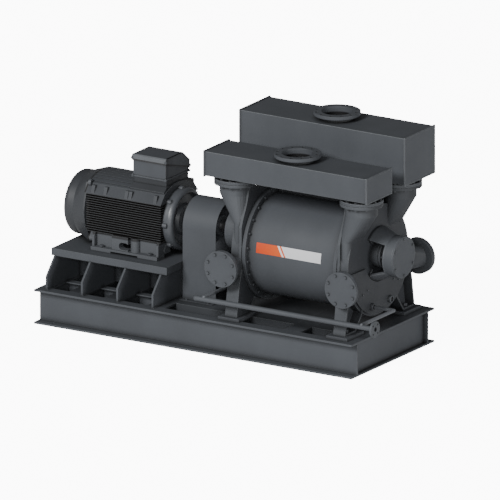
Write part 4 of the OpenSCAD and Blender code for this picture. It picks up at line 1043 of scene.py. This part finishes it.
@dataclass
class PumpBody:
    """Pump barrel, end housings, brackets and rotor."""

    middle_x: float = 0.903
    shaft_z: float = 0.982
    axis_z: float = 0.918
    radius: float = 0.466
    rib_y: float = 0.030
    rib_size: tuple[float, float, float] = (0.94, 0.062, 0.016)
    rib_hole_x: float = 0.400
    lug_x: float = 0.560
    lug_y: float = 0.110
    lug_z: float = 1.404
    lug_size: tuple[float, float, float] = (0.125, 0.085, 0.018)
    root_in: float = 0.001
    plate_x: Span = (0.521, 1.201)
    plate_angles: Span = (3.4, 15.0)
    plate_gap: float = 0.0003
    plate_thick: float = 0.0012
    plate_split: float = 0.36
    cover_x: float = 0.887
    cover_ring: float = 0.168
    cover_bolts: int = 6
    cover_phase: float = 30.0
    gland_x: float = 0.711
    gland_ring: float = 0.108
    gland_nuts: int = 2
    apron_x: float = 0.639
    apron_spots: tuple[Span, ...] = ((0.218, 0.690), (0.303, 0.664), (0.387, 0.689))
    boss_x: float = 0.653
    boss_y: float = 0.150
    boss_z: float = 0.522
    plug_line: tuple[Span, ...] = ((0.0, 0.004), (0.022, 0.004), (0.023, 0.016), (0.030, 0.016),
                                   (0.033, 0.013), (0.033, 0.0))
    socket_line: tuple[Span, ...] = ((0.0, 0.006), (0.0205, 0.006), (0.0215, 0.004))
    foot_x: float = 0.587
    foot_y: float = 0.500
    foot_z: float = 0.366
    cover_bolt: Bolt = Bolt(0.018, 0.009)
    apron_bolt: Bolt = Bolt(0.016, 0.008)
    foot_bolt: Bolt = Bolt(0.036, 0.016)

    def dress(self, finishes: Finishes) -> None:
        """Paints the castings and finishes the inside."""
        dress(finishes.barrel, "pump_casing")
        dress(finishes.plate, "cleanout_covers", "pump_bearing_covers")
        dress(finishes.casting, "de_housing", "nde_housing", "de_bearing_bracket", "nde_bearing_bracket",
              "de_port_plate", "nde_port_plate", "packing_glands")
        dress(finishes.fitting, "casing_bolts", "cleanout_bolts")
        dress(finishes.steel, "pump_shaft", "pump_bearing_inners", "pump_bearing_outers")
        dress(finishes.cast_metal, "impeller")
        dress(finishes.packing, "packing_rings")

    def build(self, finishes: Finishes) -> None:
        """Builds the label, the lugs, the bolts of covers, glands and feet, and the plugs."""
        self.build_label()
        self.build_lugs(finishes)
        covers, glands = Piece("bearing_cover_bolts"), Piece("gland_nuts")
        plugs, feet = Piece("housing_plugs"), Piece("pump_foot_bolts")
        sockets = Piece("plug_sockets")
        for side in WAYS:
            out = (side, 0.0, 0.0)
            outward = (self.cover_x, self.gland_x, self.apron_x, self.boss_x, self.foot_x)
            cover_x, gland_x, apron_x, boss_x, foot_x = (self.middle_x + side * x for x in outward)
            face = (cover_x, 0.0, self.shaft_z)
            self.cover_bolt.circle(covers, face, self.cover_ring, self.cover_bolts, side, self.cover_phase)
            face = (gland_x, 0.0, self.shaft_z)
            self.cover_bolt.circle(glands, face, self.gland_ring, self.gland_nuts, side)
            for y, z in self.apron_spots:
                for hand in WAYS:
                    self.apron_bolt.place(plugs, (apron_x, hand * y, z), out)
            for hand in WAYS:
                spot = (boss_x, hand * self.boss_y, self.boss_z)
                turned(plugs, spot, out, self.plug_line)
                turned(sockets, spot, out, self.socket_line, 6)
                self.foot_bolt.place(feet, (foot_x, hand * self.foot_y, self.foot_z), UPWARDS)
        for piece in (covers, glands, plugs, feet):
            piece.finish(finishes.fitting, Slot.GREY_PAINT, smooth=35.0)
        sockets.finish(finishes.rubber, Slot.GREY_PAINT)

    def build_lugs(self, finishes: Finishes) -> None:
        """Builds the lifting rib along the top of the barrel and two lugs on each end housing."""
        rib, lugs = Piece("barrel_lifting_rib"), Piece("housing_lugs")
        foot = self.axis_z + math.sqrt(self.radius ** 2 - self.rib_y ** 2) - self.root_in
        lug(rib, (self.middle_x, self.rib_y, foot), 0.0, self.rib_size, (-self.rib_hole_x, self.rib_hole_x))
        rib.finish(finishes.plate, Slot.GREY_PAINT)
        for side in WAYS:
            for hand in WAYS:
                spot = (self.middle_x + side * self.lug_x, hand * self.lug_y, self.lug_z)
                lug(lugs, spot, 90.0, self.lug_size, (0.0,))
        lugs.finish(finishes.casting, Slot.GREY_PAINT)

    def build_label(self) -> None:
        """Builds the thin printed plate that follows the barrel."""
        label = Piece("barrel_label")
        mesh = label.mesh
        low, high = (math.radians(angle) for angle in self.plate_angles)
        start, end = self.plate_x
        inner = self.radius + self.plate_gap
        rows = [mesh.verts.new((start, -reach * math.cos(low), self.axis_z + reach * math.sin(low)))
                for reach in (inner, inner + self.plate_thick)]
        edge = mesh.edges.new(rows)
        bmesh.ops.spin(mesh, geom=[*rows, edge], cent=(0.0, 0.0, self.axis_z), axis=(1.0, 0.0, 0.0),
                       angle=low - high, steps=12)
        grown = bmesh.ops.extrude_face_region(mesh, geom=mesh.faces[:])["geom"]
        bmesh.ops.translate(mesh, verts=points_of(grown), vec=(end - start, 0.0, 0.0))
        finish = PrintedPlate("label_print", start + self.plate_split * (end - start),
                              self.axis_z + self.radius * math.sin((low + high) / 2))
        label.finish(finish.build(), Slot.GREY_PAINT, smooth=30.0)


@dataclass
class Headers:
    """Suction and discharge headers with their gaskets and bolts."""

    boxes: tuple[tuple[Span, Span, Span], ...] = (
        ((0.032, 1.754), (-0.569, -0.149), (1.615, 1.842)),
        ((0.032, 1.780), (0.030, 0.546), (1.640, 2.075)),
    )
    seam: float = 0.006
    seam_in: float = 0.004

    def dress(self, finishes: Finishes) -> None:
        """Paints the headers."""
        dress(finishes.front_header, "front_header")
        dress(finishes.rear_header, "rear_header")
        dress(finishes.rubber, "header_gaskets")
        dress(finishes.fitting, "header_bolts")

    def build(self, finishes: Finishes) -> None:
        """Lays the weld seam of each header's end plates."""
        seams = Piece("header_seams")
        for span_x, span_y, span_z in self.boxes:
            (y0, y1), (z0, z1) = ((low + self.seam_in, high - self.seam_in) for low, high in (span_y, span_z))
            for x in (span_x[0] + self.seam_in, span_x[1] - self.seam_in):
                bead(seams, ((x, y0, z0), (x, y1, z0), (x, y1, z1), (x, y0, z1), (x, y0, z0)), self.seam)
        seams.finish(finishes.seam, Slot.GREY_PAINT, smooth=50.0)


@dataclass
class ServiceLine:
    """Service liquid pipe and its branches."""

    pipe_y: float = -0.690
    pipe_z: float = 0.502
    pipe_radius: float = 0.024
    pipe_ends: Span = (0.023, 1.900)
    dome: tuple[Span, ...] = ((0.0, 0.016), (0.5, 0.0145), (0.85, 0.010))
    skirt: tuple[Span, ...] = ((0.002, 0.0), (0.002, -0.014), (0.0, -0.016))
    weld: tuple[Span, ...] = ((0.007, 0.0), (0.004, 0.0035), (0.0, 0.007))

    def dress(self, finishes: Finishes) -> None:
        """Paints the pipework."""
        dress(finishes.pipe, "service_pipe")
        dress(finishes.branch, "service_branches")

    def build(self, finishes: Finishes) -> None:
        """Builds the pipe's end cap and the weld at its flange."""
        wall = self.pipe_radius
        dome = [(wall * share, height) for share, height in self.dome]
        skirt, weld = ([(wall + out, height) for out, height in line] for line in (self.skirt, self.weld))
        lines = (("service_pipe_cap", dome + skirt), ("service_flange_weld", weld))
        for (name, profile), end in zip(lines, self.pipe_ends):
            piece = Piece(name)
            turned(piece, (end, self.pipe_y, self.pipe_z), (-1.0, 0.0, 0.0), profile)
            piece.finish(finishes.pipe, Slot.GREY_PAINT, smooth=40.0)


@dataclass
class Studio:
    """Floor, lights and the camera at the photograph's angle."""

    azimuth: float = 31.92
    elevation: float = 16.46
    scale: float = 4.472
    centre: Span = (0.1422, 0.7402)
    distance: float = 14.0
    far: float = 100.0
    floor_half: float = 60.0
    floor_drop: float = 0.001
    floor_tone: float = 0.86
    surround: float = 0.12
    glow: float = 10.0
    lights: list[tuple[str, RGB, float, float]] = field(default_factory=lambda: [
        ("key", (-0.13, -1.0, 0.62), 18.0, 4.3),
        ("fill", (1.0, -0.10, 0.10), 16.0, 1.9),
        ("front", (0.507, -0.814, 0.283), 10.0, 1.5),
        ("back", (-0.10, 1.0, -0.12), 10.0, 6.0),
        ("left", (-1.0, 0.48, -0.12), 10.0, 5.2),
    ])
    matte_lights: tuple[str, ...] = ("back", "left")

    def axes(self) -> tuple[Vector, Vector, Vector]:
        """The view's right, up and back directions."""
        turn, tilt = math.radians(self.azimuth), math.radians(self.elevation)
        right = Vector((math.cos(turn), math.sin(turn), 0.0))
        up = Vector((-math.sin(turn) * math.sin(tilt), math.cos(turn) * math.sin(tilt), math.cos(tilt)))
        return right, up, right.cross(up)

    def build_camera(self) -> None:
        """Makes the parallel-view camera."""
        right, up, back = self.axes()
        data = bpy.data.cameras.new("camera")
        data.type = "ORTHO"
        data.ortho_scale = self.scale
        data.clip_end = self.far
        camera = bpy.data.objects.new("camera", data)
        spot = right * self.centre[0] + up * self.centre[1] + back * self.distance
        camera.matrix_world = Matrix.Translation(spot) @ Matrix((right, up, back)).transposed().to_4x4()
        bpy.context.scene.collection.objects.link(camera)
        bpy.context.scene.camera = camera

    def build_floor(self) -> None:
        """Makes the plain pale floor, which lights only itself and lets the low lights through."""
        mesh = bmesh.new()
        bmesh.ops.create_grid(mesh, x_segments=4, y_segments=4, size=self.floor_half)
        bmesh.ops.translate(mesh, verts=mesh.verts[:], vec=(0.0, 0.0, -self.floor_drop))
        data = bpy.data.meshes.new("floor")
        mesh.to_mesh(data)
        mesh.free()
        shader = Shader("floor_white")
        shader.set(Base_Color=(self.floor_tone,) * 3, Roughness=0.9)
        shader.set(Emission_Color=(1.0, 1.0, 1.0), Emission_Strength=self.glow)
        data.materials.append(shader.material)
        floor = bpy.data.objects.new("floor", data)
        bpy.context.scene.collection.objects.link(floor)
        lit = bpy.data.collections.new("lit_by_floor")
        lit.objects.link(floor)
        floor.light_linking.receiver_collection = lit
        floor.visible_shadow = False

    def build_lights(self) -> None:
        """Makes the soft studio lights and the pale surround."""
        for name, towards, spread, strength in self.lights:
            data = bpy.data.lights.new(name, "SUN")
            data.angle = math.radians(spread)
            data.energy = strength
            lamp = bpy.data.objects.new(name, data)
            lamp.rotation_euler = Vector(towards).to_track_quat("Z", "Y").to_euler()
            lamp.visible_glossy = name not in self.matte_lights
            bpy.context.scene.collection.objects.link(lamp)
        world = bpy.data.worlds.new("surround")
        world.use_nodes = True
        sky = world.node_tree.nodes["Background"].inputs
        sky["Color"].default_value = (1.0, 1.0, 1.0, 1.0)
        sky["Strength"].default_value = self.surround
        bpy.context.scene.world = world


def main() -> None:
    """Builds and dresses the set, then the stage."""
    logging.basicConfig(level=logging.INFO, format="%(name)s %(message)s")
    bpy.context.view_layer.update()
    finishes = Finishes()
    for assembly in (BaseFrame(), Motor(), CouplingSet(), PumpBody(), Headers(), ServiceLine()):
        assembly.dress(finishes)
        assembly.build(finishes)
    studio = Studio()
    studio.build_camera()
    studio.build_floor()
    studio.build_lights()


if __name__ == "__main__":
    main()
